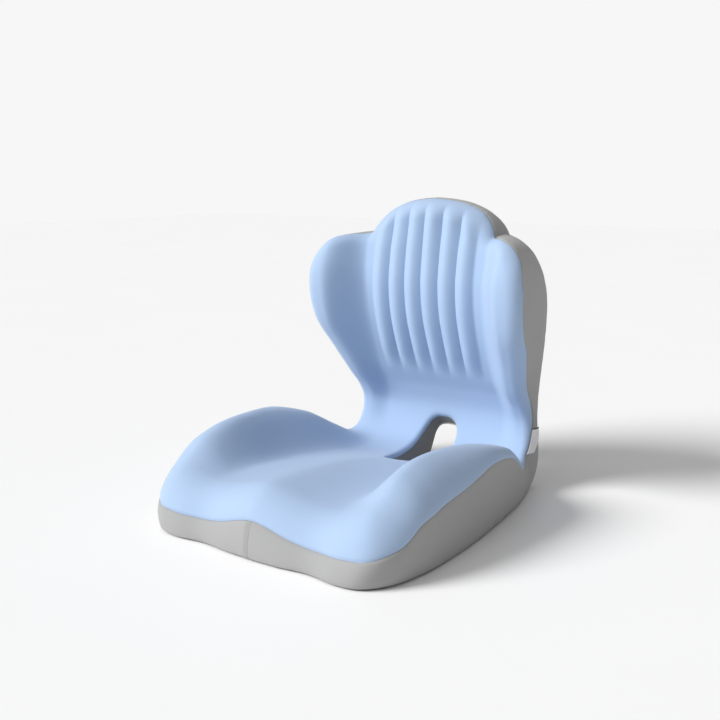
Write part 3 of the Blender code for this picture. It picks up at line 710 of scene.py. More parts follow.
class Shader:
    """A material's node tree, with short ways to add and join its nodes."""

    def __init__(self, name: str) -> None:
        """Starts a material.

        Args:
            name: the finish's name.
        """
        self.material = bpy.data.materials.new(name)
        self.material.use_nodes = True
        self.tree = self.material.node_tree
        self.surface = self.tree.nodes["Principled BSDF"]

    def node(self, kind: str, inputs: dict[int | str, object], **settings: object) -> bpy.types.Node:
        """Adds a node.

        Args:
            kind: the node's type.
            inputs: a value or another node's output for some of its inputs.
            **settings: its other settings.

        Returns:
            The node.
        """
        made = self.tree.nodes.new(kind)
        for key, value in settings.items():
            setattr(made, key, value)
        for key, value in inputs.items():
            if isinstance(value, bpy.types.NodeSocket):
                self.tree.links.new(value, made.inputs[key])
            else:
                made.inputs[key].default_value = value
        return made

    def math(self, operation: str, *values: object) -> bpy.types.NodeSocket:
        """The result of a Math node on one, two or three values."""
        inputs = dict(enumerate(values))
        return self.node("ShaderNodeMath", inputs, operation=operation).outputs[0]

    def noise(self, vector: bpy.types.NodeSocket, scale: float, detail: float = 2.0) -> bpy.types.NodeSocket:
        """Smooth noise from 0 to 1 with features 1/scale metres apart."""
        inputs = {"Vector": vector, "Scale": scale, "Detail": detail, "Roughness": 0.55}
        return self.node("ShaderNodeTexNoise", inputs).outputs["Fac"]

    def blend(self, factor: bpy.types.NodeSocket, first: Colour, second: Colour) -> bpy.types.NodeSocket:
        """A colour between two, by a factor."""
        mix = self.node("ShaderNodeMix", {"Factor": factor}, data_type="RGBA")
        for socket, colour in ((mix.inputs[6], first), (mix.inputs[7], second)):
            if isinstance(colour, bpy.types.NodeSocket):
                self.tree.links.new(colour, socket)
            else:
                socket.default_value = (*colour, 1.0)
        return mix.outputs[2]

    def finish(self, colour: bpy.types.NodeSocket | None, height: bpy.types.NodeSocket | None,
               depth: float, roughness: bpy.types.NodeSocket | float, **fixed: float) -> None:
        """Joins the results to the surface.

        Args:
            colour: the base colour.
            height: the relief from 0 to 1.
            depth: the relief's real depth in metres.
            roughness: a socket or a number.
            **fixed: the surface's other sockets, with underscores for spaces.
        """
        if colour is not None:
            self.tree.links.new(colour, self.surface.inputs["Base Color"])
        if height is not None:
            bump = self.node("ShaderNodeBump", {"Height": height, "Distance": depth, "Strength": 1.0})
            self.tree.links.new(bump.outputs[0], self.surface.inputs["Normal"])
        if isinstance(roughness, bpy.types.NodeSocket):
            self.tree.links.new(roughness, self.surface.inputs["Roughness"])
        else:
            self.surface.inputs["Roughness"].default_value = roughness
        for key, value in fixed.items():
            self.surface.inputs[key.replace("_", " ")].default_value = value


@dataclass(frozen=True)
class Cloth:
    """A fabric finish, with its loops or threads at their real size."""

    name: str
    light: Colour
    # dark is the colour that the threads' low places are painted towards, as painted shade; random tone also
    # mixes light and dark.
    dark: Colour
    weave: Weave = Weave.KNIT
    pitch: float = 0.0011
    relief: float = 0.00012
    roughness: float = 0.88
    sheen: float = 0.25
    # colour of a darker top edge, for a cloth that has one
    top_edge_colour: Colour | None = None

    def threads(self, shader: Shader, u: bpy.types.NodeSocket,
                v: bpy.types.NodeSocket) -> bpy.types.NodeSocket:
        """The height of the cloth's threads.

        Args:
            shader: the material that is made.
            u: metres along the cloth.
            v: metres across it.

        Returns:
            A height from 0 to 1.
        """
        column = shader.math("DIVIDE", u, self.pitch)
        row = shader.math("DIVIDE", v, self.pitch * 0.8)
        if self.weave is Weave.KNIT:
            across = shader.math("SUBTRACT", shader.math("FRACT", column), 0.5)
            slant = shader.math("MULTIPLY_ADD", shader.math("ABSOLUTE", across), 1.3, row)
            wale = shader.math("SINE", shader.math("MULTIPLY", shader.math("FRACT", column), math.pi))
            loop = shader.math("SINE", shader.math("MULTIPLY", slant, 2 * math.pi))
            return shader.math("MULTIPLY", wale, shader.math("MULTIPLY_ADD", loop, 0.25, 0.75))
        if self.weave is Weave.TWILL:
            row = shader.math("ADD", row, shader.math("MULTIPLY", column, 0.5))
        first = shader.math("SINE", shader.math("MULTIPLY", column, 2 * math.pi))
        second = shader.math("SINE", shader.math("MULTIPLY", row, 2 * math.pi))
        both = shader.math("MULTIPLY", first, second)
        return shader.math("MULTIPLY_ADD", both, 0.5, 0.5)

    def material(self) -> bpy.types.Material:
        """Makes the finish, following the piece's own pattern map."""
        shader = Shader(self.name)
        place = shader.node("ShaderNodeTexCoord", {}).outputs
        flat = shader.node("ShaderNodeSeparateXYZ", {0: place["UV"]}).outputs
        height = self.threads(shader, flat[0], flat[1])
        fuzz = shader.noise(place["Object"], 2600.0, 3.0)
        cloud = shader.noise(place["Object"], 9.0, 3.0)
        # Painted shade: the threads' low places and the low fibre fuzz are coloured towards dark. The cloud
        # noise adds random tone.
        painted_shade_and_tone = shader.math("MULTIPLY_ADD", height, 0.45, shader.math("MULTIPLY", fuzz, 0.35))
        painted_shade_and_tone = shader.math("MULTIPLY_ADD", cloud, 0.35, painted_shade_and_tone)
        colour = shader.blend(painted_shade_and_tone, self.dark, self.light)
        # A darker top edge: the top 1.2 mm of the cloth take the near-black edge colour.
        if self.top_edge_colour is not None:
            dark_top_edge = shader.math("GREATER_THAN", flat[1], SideTag.height - SideTag.dark_top_edge)
            colour = shader.blend(dark_top_edge, colour, self.top_edge_colour)
        relief = shader.math("MULTIPLY_ADD", fuzz, 0.4, height)
        rough = shader.math("MULTIPLY_ADD", fuzz, 0.08, self.roughness - 0.04)
        shader.finish(colour, relief, self.relief, rough, Sheen_Weight=self.sheen,
                      Sheen_Roughness=0.5, Specular_IOR_Level=0.25)
        return shader.material


@dataclass(frozen=True)
class Foam:
    """Open-cell memory foam."""

    name: str = "cream_foam"
    light: Colour = (0.84, 0.79, 0.62)
    dark: Colour = (0.70, 0.63, 0.44)

    def material(self) -> bpy.types.Material:
        """Makes the finish."""
        shader = Shader(self.name)
        place = shader.node("ShaderNodeTexCoord", {}).outputs["Object"]
        cells = shader.node("ShaderNodeTexVoronoi", {"Vector": place, "Scale": 900.0}).outputs["Distance"]
        # Painted shade: the hollows of the cells, low in the bump, are coloured towards dark. The noise adds
        # random tone.
        colour = shader.blend(shader.math("ADD", cells, shader.noise(place, 14.0)), self.dark, self.light)
        shader.finish(colour, cells, 0.0003, 0.95, Subsurface_Weight=0.0)
        return shader.material


@dataclass(frozen=True)
class Hard:
    """A metal, nylon or rubber finish."""

    name: str
    light: Colour
    dark: Colour
    roughness: float
    metallic: float = 0.0
    grain: float = 1500.0
    relief: float = 0.00002

    def material(self) -> bpy.types.Material:
        """Makes the finish."""
        shader = Shader(self.name)
        place = shader.node("ShaderNodeTexCoord", {}).outputs["Object"]
        grain = shader.noise(place, self.grain, 4.0)
        worn = shader.noise(place, self.grain / 12, 3.0)
        colour = shader.blend(worn, self.dark, self.light)
        rough = shader.math("MULTIPLY_ADD", worn, 0.20, self.roughness - 0.10)
        shader.finish(colour, grain, self.relief, rough, Metallic=self.metallic)
        return shader.material


BLUE_KNIT = Cloth("blue_knit", (0.395, 0.525, 0.730), (0.365, 0.490, 0.690))
GREY_KNIT = Cloth("grey_knit", (0.385, 0.385, 0.385), (0.350, 0.350, 0.350))
LINING_KNIT = Cloth("lining_knit", (0.250, 0.248, 0.246), (0.205, 0.203, 0.200))
BASE_TWILL = Cloth("base_twill", (0.085, 0.085, 0.090), (0.045, 0.045, 0.050), Weave.TWILL, 0.0014, 0.0002)
ZIP_TAPE = Cloth("zip_tape_weave", (0.300, 0.300, 0.305), (0.220, 0.220, 0.225), Weave.TAPE, 0.0007, 0.0001)
# The tag ribbon's last colour is the near-black of its top edge.
TAG_RIBBON = Cloth("tag_ribbon", (0.860, 0.860, 0.880), (0.780, 0.780, 0.800), Weave.TAPE, 0.0005,
                   0.00005, 0.6, 0.1, (0.030, 0.030, 0.040))
THREAD = Hard("sewing_thread", (0.420, 0.420, 0.425), (0.320, 0.320, 0.325), 0.75, 0.0, 4000.0, 0.00006)
NYLON = Hard("zip_nylon", (0.230, 0.230, 0.235), (0.170, 0.170, 0.175), 0.42)
NICKEL = Hard("zip_nickel", (0.660, 0.650, 0.630), (0.520, 0.510, 0.490), 0.32, 1.0)
RUBBER = Hard("grip_rubber", (0.060, 0.060, 0.065), (0.035, 0.035, 0.040), 0.62)
FOAM = Foam()


# ---- making and dressing pieces --------------------------------------------------------
def add_piece(name: str, points: np.ndarray, faces: list[tuple[int, ...]],
              pattern: np.ndarray | None = None, sharp: float = 58.0) -> bpy.types.Object:
    """A closed mesh piece with its doubled points merged.

    Args:
        name: the piece's name.
        points: its points.
        faces: its faces, as numbers of points.
        pattern: place of each point on the laid-out cloth.
        sharp: edges bent more than this many degrees stay sharp.

    Returns:
        The piece.
    """
    mesh = bpy.data.meshes.new(name)
    mesh.from_pydata(points.tolist(), [], faces)
    if pattern is not None:
        corner = np.zeros(len(mesh.loops), dtype=np.int32)
        mesh.loops.foreach_get("vertex_index", corner)
        layer = mesh.uv_layers.new(name="UVMap")
        layer.data.foreach_set("uv", pattern[corner].astype(np.float32).ravel())
    tidy = bmesh.new()
    tidy.from_mesh(mesh)
    bmesh.ops.remove_doubles(tidy, verts=tidy.verts, dist=1e-6)
    bmesh.ops.recalc_face_normals(tidy, faces=tidy.faces)
    if tidy.calc_volume(signed=True) < 0:
        bmesh.ops.reverse_faces(tidy, faces=tidy.faces)
    tidy.to_mesh(mesh)
    tidy.free()
    mesh.shade_smooth()
    mesh.set_sharp_from_angle(angle=math.radians(sharp))
    item = bpy.data.objects.new(name, mesh)
    bpy.context.collection.objects.link(item)
    return item


def dress(item: bpy.types.Object, finish: Cloth | Foam | Hard, body: str, slot: str,
          *nodes: str) -> bpy.types.Object:
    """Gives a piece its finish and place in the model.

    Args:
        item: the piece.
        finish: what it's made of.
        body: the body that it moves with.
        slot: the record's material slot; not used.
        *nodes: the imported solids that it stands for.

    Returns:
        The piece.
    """
    known = bpy.data.materials.get(finish.name)
    item.data.materials.clear()
    item.data.materials.append(known or finish.material())
    if nodes:
        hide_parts(*nodes)
    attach(item, body)
    triangles = sum(len(face.vertices) - 2 for face in item.data.polygons)
    log.info("%-22s rides on %-8s %7d triangles", item.name, body, triangles)
    return item


def grid_faces(rows: int, columns: int, offset: int = 0) -> list[tuple[int, ...]]:
    """Four-sided faces of an open grid.

    Args:
        rows: its rows.
        columns: its columns.
        offset: number of its first point.

    Returns:
        The faces.
    """
    start = offset + (np.arange(rows - 1)[:, None] * columns + np.arange(columns - 1)).ravel()
    corners = np.stack([start, start + 1, start + columns + 1, start + columns], axis=-1)
    return [tuple(face) for face in corners.tolist()]


def ring_faces(rings: int, sides: int, first: int = 0, closed: bool = False) -> list[tuple[int, ...]]:
    """Four-sided faces between rings of points.

    Args:
        rings: how many rings.
        sides: points in each.
        first: number of the first point.
        closed: whether the last ring joins the first.

    Returns:
        The faces.
    """
    total = rings * sides
    faces = []
    for i in range(rings if closed else rings - 1):
        for k in range(sides):
            a, b = i * sides + k, i * sides + (k + 1) % sides
            c, d = (b + sides) % total, (a + sides) % total
            faces.append((first + a, first + b, first + c, first + d))
    return faces


def zip_opening() -> tuple[Vector, Vector]:
    """Lowest and highest corner of the opening that the two tapes fill."""
    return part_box("zip_tape_lower")[0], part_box("zip_tape_upper")[1]


def shell(name: str, outer: np.ndarray, inner: np.ndarray, pattern: np.ndarray,
          closed: bool) -> bpy.types.Object:
    """A closed skin between two grids.

    Args:
        name: the piece's name.
        outer: the outer grid.
        inner: the inner grid.
        pattern: place of each grid point on the laid-out cloth.
        closed: whether the rows run round into a loop.

    Returns:
        The piece.
    """
    rows, columns = outer.shape[:2]
    count = rows * columns
    faces = grid_faces(rows, columns)
    faces += [face[::-1] for face in grid_faces(rows, columns, count)]
    border = [(i * columns, (i + 1) * columns) for i in range(rows - 1)]
    border += [((i + 1) * columns - 1, (i + 2) * columns - 1) for i in range(rows - 1)]
    if not closed:
        border += [(j, j + 1) for j in range(columns - 1)]
        border += [(count - columns + j, count - columns + j + 1) for j in range(columns - 1)]
    faces += [(a, b, b + count, a + count) for a, b in border]
    points = np.concatenate([outer.reshape(-1, 3), inner.reshape(-1, 3)])
    both = np.concatenate([pattern.reshape(-1, 2)] * 2)
    return add_piece(name, points, faces, both)


class Bench:
    """Hand tools for the small hard pieces: each works on the active mesh."""

    @staticmethod
    def clear() -> None:
        """Lets go of everything."""
        if bpy.context.object is not None and bpy.context.object.mode != "OBJECT":
            bpy.ops.object.mode_set(mode="OBJECT")
        bpy.ops.object.select_all(action="DESELECT")

    @classmethod
    def hold(cls, item: bpy.types.Object) -> None:
        """Makes a piece the active and only selected one."""
        cls.clear()
        bpy.context.view_layer.objects.active = item
        item.select_set(True)

    @staticmethod
    def soften(radius: float) -> None:
        """Rounds all edges of the piece in edit mode, and leaves that mode."""
        bpy.ops.mesh.select_all(action="SELECT")
        bpy.ops.mesh.bevel(offset=radius, segments=3, affect="EDGES")
        bpy.ops.object.mode_set(mode="OBJECT")

    @classmethod
    def block(cls, name: str, low: Vector, high: Vector, round_off: float = 0.0) -> bpy.types.Object:
        """A block with rounded edges.

        Args:
            name: its name.
            low: its lowest corner.
            high: its highest corner.
            round_off: radius of its edges.

        Returns:
            The block.
        """
        cls.clear()
        middle = (Vector(low) + Vector(high)) / 2
        bpy.ops.mesh.primitive_cube_add(size=1.0, location=middle)
        item = bpy.context.object
        item.name = name
        item.scale = Vector(high) - Vector(low)
        bpy.ops.object.transform_apply(location=True, rotation=True, scale=True)
        if round_off:
            bpy.ops.object.mode_set(mode="EDIT")
            cls.soften(round_off)
        return item

    @classmethod
    def pick(cls, item: bpy.types.Object, wanted: "Pick") -> None:
        """Selects the faces that point a given way and goes into edit mode.

        Args:
            item: the piece.
            wanted: which faces.
        """
        cls.hold(item)
        for part in (item.data.vertices, item.data.edges, item.data.polygons):
            part.foreach_set("select", [False] * len(part))
        for face in item.data.polygons:
            facing = face.normal.dot(wanted.towards) > 0.9
            face.select = facing and face.area > wanted.least_area
        bpy.ops.object.mode_set(mode="EDIT")
        bpy.ops.mesh.select_mode(type="FACE")

    @classmethod
    def combine(cls, item: bpy.types.Object, tool: bpy.types.Object, operation: str) -> bpy.types.Object:
        """Joins a second shape to a piece or cuts it out, and drops the second shape.

        Args:
            item: the piece.
            tool: the second shape.
            operation: UNION or DIFFERENCE.

        Returns:
            The piece.
        """
        cls.hold(item)
        change = item.modifiers.new(operation.lower(), "BOOLEAN")
        change.operation = operation
        change.solver = "EXACT"
        change.object = tool
        bpy.ops.object.modifier_apply(modifier=change.name)
        bpy.data.objects.remove(tool)
        return item

    @classmethod
    def finish(cls, item: bpy.types.Object, angle: float = 40.0) -> bpy.types.Object:
        """Smooths a piece's shading between its sharp edges."""
        cls.hold(item)
        bpy.ops.object.shade_smooth_by_angle(angle=math.radians(angle))
        return item


@dataclass(frozen=True)
class Pick:
    """Which faces of a piece an edit is for."""

    towards: Vector
    least_area: float = 0.0


# ---- the cover -------------------------------------------------------------------------
@dataclass
class Cover:
    """The sewn panels over the moulded core."""

    shape: Shape
    cloth: float = 0.0020
    slack: float = 0.0010
    gap: float = 0.0003
    lift: float = 0.0007
    lift_height: float = 0.005
    press: float = 0.0050
    press_fade: float = 0.02
    press_reach: float = 0.01
    grip_front: float = 0.016
    grip_margin: float = 0.012
    grip_inset: float = 0.010

    def __post_init__(self) -> None:
        """Makes the surface that all the panels share."""
        self.body = self.shape.sewn()
        low = 1 - ease(self.body.points[..., 2] / self.lift_height)
        self.body.points[..., 2] += self.lift * low
        smooth = self.shape.loops()
        self.under_cloth = smooth.points + self.shape.shift
        self.inward = self.shape.outward_normals(self.under_cloth, 4)

    def pulled_back(self, grid: np.ndarray, axis: int, end: int) -> np.ndarray:
        """A grid whose first or last line stops half a gap short of its seam.

        Args:
            grid: the points.
            axis: 0 for a row, 1 for a ring.
            end: 0 for the first line, -1 for the last.

        Returns:
            The changed grid.
        """
        grid = np.moveaxis(grid.copy(), axis, 0)
        step = grid[1 if end == 0 else -2] - grid[end]
        grid[end] = grid[end] + unit(step) * (self.gap / 2)
        return np.moveaxis(grid, 0, axis)

    def panel(self, name: str, number: int, spokes: tuple[int, int] | None = None) -> bpy.types.Object:
        """One panel of the cover.

        Args:
            name: its name.
            number: which stretch between two seams it covers.
            spokes: its first spoke and the one after its last, or None for all round.

        Returns:
            The panel.
        """
        count = len(self.body.points)
        start, end = self.body.seams[number], self.body.seams[number + 1]
        columns = np.arange(start, end + 1) % self.body.points.shape[1]
        rows = np.arange(*(spokes or (0, count + 1)))
        pick = np.ix_(rows % count, columns)
        outer = self.body.points[pick]
        inner = self.under_cloth[pick] - self.cloth * self.inward[pick]
        pattern = self.body.patterns[number][rows % count]
        if number in (1, 3):
            pattern = pattern.copy()
            pattern[rows >= count, :, 0] += run_lengths(self.body.points[:, start])[-1]
        skins = []
        for grid in (outer, inner):
            for last in (0, -1):
                grid = self.pulled_back(grid, 1, last)
                if spokes is not None:
                    grid = self.pulled_back(grid, 0, last)
            skins.append(grid)
        return shell(name, skins[0], skins[1], pattern, spokes is None)

    def core(self) -> bpy.types.Object:
        """The moulded foam inside the cover, pressed in a little behind the zip."""
        points = self.under_cloth - (self.cloth + self.slack) * self.inward
        points = points[::2, ::2]
        low, high = zip_opening()
        middle = (low + high) / 2
        away_x = np.abs(points[..., 0] - middle.x) - (high.x - middle.x)
        away_z = np.abs(points[..., 2] - middle.z) - (high.z - middle.z) - Zip.tape_tuck
        near = (1 - ease(away_x / self.press_fade)) * (1 - ease(away_z / self.press_fade))
        near = near * ease((points[..., 1] - self.shape.rear + self.press_fade) / self.press_reach)
        points[..., 1] -= self.press * near
        rows, columns = points.shape[:2]
        loop = np.concatenate([points, points[:1]])
        loop = np.concatenate([loop, loop[:, :1]], axis=1)
        faces = grid_faces(rows + 1, columns + 1)
        return add_piece("moulded_foam_core", loop.reshape(-1, 3), faces)

    def build(self) -> None:
        """Makes and dresses the core and all the panels."""
        count = len(self.body.points)
        half, waist = count // 2, self.shape.seat_spokes
        dress(self.core(), FOAM, ROOT_BODY, "foam", "foam_core")
        dress(self.panel("top_knit_panel", 0), BLUE_KNIT, ROOT_BODY, "top_fabric", "top_panel")
        for name, spokes in (("right", (0, half + 1)), ("left", (half, count + 1))):
            band = self.panel("side_knit_band_" + name, 1, spokes)
            dress(band, GREY_KNIT, ROOT_BODY, "band_fabric", "side_band_" + name)
        lining = self.panel("slot_knit_lining", 3)
        dress(lining, LINING_KNIT, ROOT_BODY, "lining_fabric", "slot_lining")
        base = self.panel("base_twill_panel", 2, (count - waist, count + waist + 1))
        dress(base, BASE_TWILL, ROOT_BODY, "base_fabric", "base_panel")
        back = self.panel("back_knit_panel", 2, (waist, count - waist + 1))
        low, high = zip_opening()
        margin = Vector((self.gap * 2, 0.01, self.gap))
        opening = Bench.block("window_tool", low - margin, high + margin)
        Bench.combine(back, opening, "DIFFERENCE")
        dress(back, GREY_KNIT, ROOT_BODY, "band_fabric", "back_panel")
        dress(self.grips(), RUBBER, ROOT_BODY, "base_fabric")

    def grips(self, pitch: float = 0.013, radius: float = 0.0017) -> bpy.types.Object:
        """Rows of small rubber domes under the seat.

        Args:
            pitch: distance between two rows.
            radius: radius of a dome.

        Returns:
            All the domes as one piece.
        """
        foot = self.body.points[:self.shape.seat_spokes, self.body.seams[2]]
        front = foot[:, 1].min() + self.grip_front
        rear = self.shape.rear - self.shape.rear_corner - self.grip_margin
        slot = self.shape.exit_front + self.shape.shift[1] - self.grip_margin
        beside = self.shape.slot_half_width + self.grip_inset
        spots = []
        for i, y in enumerate(np.arange(front, rear, pitch)):
            reach = np.interp(y, foot[:, 1], foot[:, 0]) - self.grip_inset
            row = (np.arange(-20, 21) + 0.5 * (i % 2)) * pitch
            row = row[np.abs(row) < reach]
            spots += [(x, y) for x in row if y < slot or abs(x) > beside]
        sides = 8
        turns = np.arange(sides) / sides * 2 * math.pi
        rings = [(radius, 0.0010), (radius, 0.0004), (0.75 * radius, 0.00010), (0.35 * radius, 0.0)]
        dome = np.array([(r * math.cos(a), r * math.sin(a), z) for r, z in rings for a in turns])
        count = len(dome)
        faces = [tuple(range(sides - 1, -1, -1)), tuple(range(count - sides, count))]
        faces += ring_faces(len(rings), sides)
        points = np.concatenate([dome + (x, y, 0) for x, y in spots])
        everything = [tuple(v + count * i for v in face) for i in range(len(spots)) for face in faces]
        return add_piece("base_grip_domes", points, everything)


# ---- the zip ---------------------------------------------------------------------------
@dataclass
class Zip:
    """The zip across the back panel: tapes, coils, stops, slider, pull and stitching."""

    rear: float
    tape_tuck: float = 0.0045
    wire: float = 0.00027
    pitch: float = 0.0016
    stitch_pitch: float = 0.0036
    stitch_length: float = 0.0027
    stitch_radius: float = 0.00032
    stitch_margin: float = 0.0030
    stitch_sag: float = 0.00045
    stitch_lift: float = 0.0003
    fold_reach: float = 0.0006
    fold_corner: float = 0.0004
    air: float = 0.0003
    plate: float = 0.0012
    plate_round: float = 0.00035
    plate_taper: float = 0.66
    post_half: float = 0.0015
    post_sink: float = 0.0005
    arch_radius: float = 0.0031
    arch_wire: float = 0.0005
    tab_round: float = 0.00030
    tab_taper: float = 0.80
    eye_near: float = 0.0051
    eye_far: float = 0.0012
    eye_half: float = 0.0019
    ribs: int = 5
    rib_start: float = 0.0024
    rib_pitch: float = 0.0016

    def tape(self, name: str) -> bpy.types.Object:
        """One tape, with the thicker cord along its inner edge.

        Args:
            name: upper or lower.

        Returns:
            The tape.
        """
        low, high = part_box("zip_tape_" + name)
        side = 1 if name == "upper" else -1
        inner, outer = (low.z, high.z) if side > 0 else (high.z, low.z)
        across = np.array([0.0, 0.00015, 0.0004, 0.0008, 0.0012, 0.0015, 0.003, 0.006])
        across = np.append(across, abs(outer - inner) + self.tape_tuck)
        swell = np.array([-0.1, 0.12, 0.2, 0.2, 0.1, 0.0, 0.0, 0.0, 0.0]) * 0.001
        x = np.linspace(low.x, high.x, 60)
        middle, thick = (low.y + high.y) / 2, (high.y - low.y) / 2
        sheets = []
        for way in (1, -1):
            z = inner + side * np.broadcast_to(across, (len(x), len(across)))
            y = middle + way * (thick * 0.7 + swell) + 0 * z
            sheets.append(np.stack([x[:, None] + 0 * z, y, z], axis=-1))
        pattern = np.stack(np.broadcast_arrays(x[:, None], across[None]), axis=-1)
        return shell("zip_woven_tape_" + name, sheets[0], sheets[1], pattern, False)

    def coil(self, name: str) -> bpy.types.Object:
        """One row of the nylon coil, a single spiral wire.

        Args:
            name: upper or lower.

        Returns:
            The coil.
        """
        low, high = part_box("zip_coil_" + name)
        side = 1 if name == "upper" else -1
        turns = (high.x - low.x - 2 * self.wire) / self.pitch
        angle = np.arange(0, turns * 2 * math.pi, 2 * math.pi / 12)
        half = (high - low) / 2 - Vector((0, 1, 1)) * self.wire
        middle = (low + high) / 2
        path = np.stack([
            low.x + self.wire + self.pitch * angle / (2 * math.pi),
            middle.y + half.y * np.sin(angle),
            middle.z + side * half.z * np.cos(angle),
        ], axis=-1)
        return self.tube("zip_nylon_coil_" + name, path, self.wire, 6)

    @staticmethod
    def tube(name: str, path: np.ndarray, radius: float, sides: int) -> bpy.types.Object:
        """A round wire along a path, closed at its ends.

        Args:
            name: the piece's name.
            path: the points of its middle.
            radius: its radius.
            sides: points round it.

        Returns:
            The wire.
        """
        run = unit(np.gradient(path, axis=0))
        across = unit(np.cross(run, (1.0, 0.0, 0.02)))
        third = np.cross(run, across)
        turn = (np.arange(sides) / sides * 2 * math.pi)[None, :, None]
        ring = across[:, None] * np.cos(turn) + third[:, None] * np.sin(turn)
        points = (path[:, None] + radius * ring).reshape(-1, 3)
        faces = [tuple(range(sides)), tuple(range(len(points) - sides, len(points)))]
        faces += ring_faces(len(path), sides)
        return add_piece(name, points, faces)

    def stitches(self) -> bpy.types.Object:
        """The lines of stitching that hold the tapes, round the zip's opening."""
        low, high = zip_opening()
        left, right = low.x - self.stitch_margin, high.x + self.stitch_margin
        bottom, top = low.z - self.stitch_margin, high.z + self.stitch_margin
        rounds = [((left, bottom), (right, bottom)), ((right, bottom), (right, top)),
                  ((right, top), (left, top)), ((left, top), (left, bottom))]
        along_stitch = np.array([-0.5, -0.42, -0.25, 0.0, 0.25, 0.42, 0.5]) * self.stitch_length
        swell = np.array([0.35, 0.75, 0.95, 1.0, 0.95, 0.75, 0.35]) * self.stitch_radius
        points, faces = [], []
        for start, end in rounds:
            start, end = np.array(start), np.array(end)
            count = int(np.linalg.norm(end - start) / self.stitch_pitch)
            run = (end - start) / np.linalg.norm(end - start)
            for place in (np.arange(count) + 0.5) / count:
                middle = start + (end - start) * place
                first = len(points) * 6
                for reach, size in zip(along_stitch, swell):
                    spot = middle + run * reach
                    sag = -self.stitch_sag * (abs(reach) / self.stitch_length * 2) ** 2
                    ring = []
                    for k in range(6):
                        turn = k * math.pi / 3
                        side = math.cos(turn) * size * np.array([-run[1], run[0]])
                        ring.append((spot[0] + side[0], self.rear + self.stitch_lift + sag
                                     + math.sin(turn) * size, spot[1] + side[1]))
                    points.append(ring)
                faces.append(tuple(range(first, first + 6)))
                last = first + 6 * (len(along_stitch) - 1)
                faces.append(tuple(range(last, last + 6)))
                faces += ring_faces(len(along_stitch), 6, first)
        return add_piece("zip_stitching", np.array(points).reshape(-1, 3), faces)

    def window_fold(self, radius: float = 0.0009) -> bpy.types.Object:
        """The turned edge of the back panel round the opening.

        Args:
            radius: half the thickness of the fold.

        Returns:
            The fold, a rounded loop.
        """
        low, high = zip_opening()
        reach = self.fold_reach
        corners = [(low.x - reach, low.z - reach), (high.x + reach, low.z - reach),
                   (high.x + reach, high.z + reach), (low.x - reach, high.z + reach)]
        path = []
        for i, corner in enumerate(corners):
            for k in range(6):
                turn = math.radians(180 + 90 * i + 18 * k)
                path.append((corner[0] + self.fold_corner * math.cos(turn),
                             corner[1] + self.fold_corner * math.sin(turn)))
        sides, count = 8, len(path)
        path = np.array(path)
        run = unit(np.roll(path, -1, axis=0) - np.roll(path, 1, axis=0))
        outward = np.stack([run[:, 1], -run[:, 0]], axis=-1)
        points = []
        for i in range(count):
            for k in range(sides):
                turn = 2 * math.pi * k / sides
                spot = path[i] + outward[i] * radius * math.cos(turn)
                points.append((spot[0], self.rear - self.fold_reach + radius * math.sin(turn), spot[1]))
        points = np.array(points)
        faces = ring_faces(count, sides, closed=True)
        return add_piece("zip_window_fold", points, faces, points[:, (0, 2)])

    def stop(self, name: str) -> bpy.types.Object:
        """An end stop, a crimped bar across both coils.

        Args:
            name: right or left.

        Returns:
            The stop.
        """
        low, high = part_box("zip_stop_" + name)
        item = Bench.block("zip_end_stop_" + name, low, high, 0.0004)
        Bench.pick(item, Pick(Vector((0, 1, 0)), 2e-6))
        bpy.ops.mesh.inset(thickness=0.0007, depth=-0.0003)
        bpy.ops.mesh.inset(thickness=0.0002, depth=0.0)
        return Bench.finish(item)

    def slider(self) -> bpy.types.Object:
        """The slider: two tapered plates, a post and the arch that holds the pull."""
        low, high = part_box("zip_slider")
        coil_low, coil_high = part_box("zip_coil_lower")[0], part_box("zip_coil_upper")[1]
        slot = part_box("zip_coil_upper")[0].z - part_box("zip_coil_lower")[1].z
        air = self.air
        middle = (low + high) / 2
        plates = []
        for name, near, far in (("outer", coil_high.y + air, coil_high.y + air + self.plate),
                                ("inner", low.y, coil_low.y - air)):
            plate = Bench.block("slider_plate_" + name, Vector((low.x, near, low.z)),
                                Vector((high.x, far, high.z)))
            Bench.pick(plate, Pick(Vector((-1, 0, 0))))
            bpy.ops.transform.resize(value=(1.0, 1.0, self.plate_taper))
            Bench.soften(self.plate_round)
            plates.append(plate)
        slider, inner = plates
        width = slot / 2 - air
        half, sink = self.post_half, self.post_sink
        foot = Vector((middle.x - half, low.y + sink, middle.z - width))
        head = Vector((middle.x + half, coil_high.y + 2 * air + sink, middle.z + width))
        post = Bench.block("slider_post", foot, head)
        Bench.clear()
        seat = coil_high.y + air + self.plate / 2
        bpy.ops.mesh.primitive_torus_add(location=(middle.x, seat, middle.z), major_radius=self.arch_radius,
                                         minor_radius=self.arch_wire, major_segments=40, minor_segments=12)
        arch = bpy.context.object
        arch.scale = (1.0, (high.y - seat) / (self.arch_radius + self.arch_wire), 2.0)
        bpy.ops.object.transform_apply(location=True, rotation=True, scale=True)
        bpy.ops.object.mode_set(mode="EDIT")
        bpy.ops.mesh.select_all(action="SELECT")
        bpy.ops.mesh.bisect(plane_co=(middle.x, seat, middle.z), plane_no=(0, 1, 0),
                            use_fill=True, clear_inner=True)
        bpy.ops.object.mode_set(mode="OBJECT")
        for tool in (inner, post, arch):
            Bench.combine(slider, tool, "UNION")
        slider.name = "zip_slider_body"
        return Bench.finish(slider)

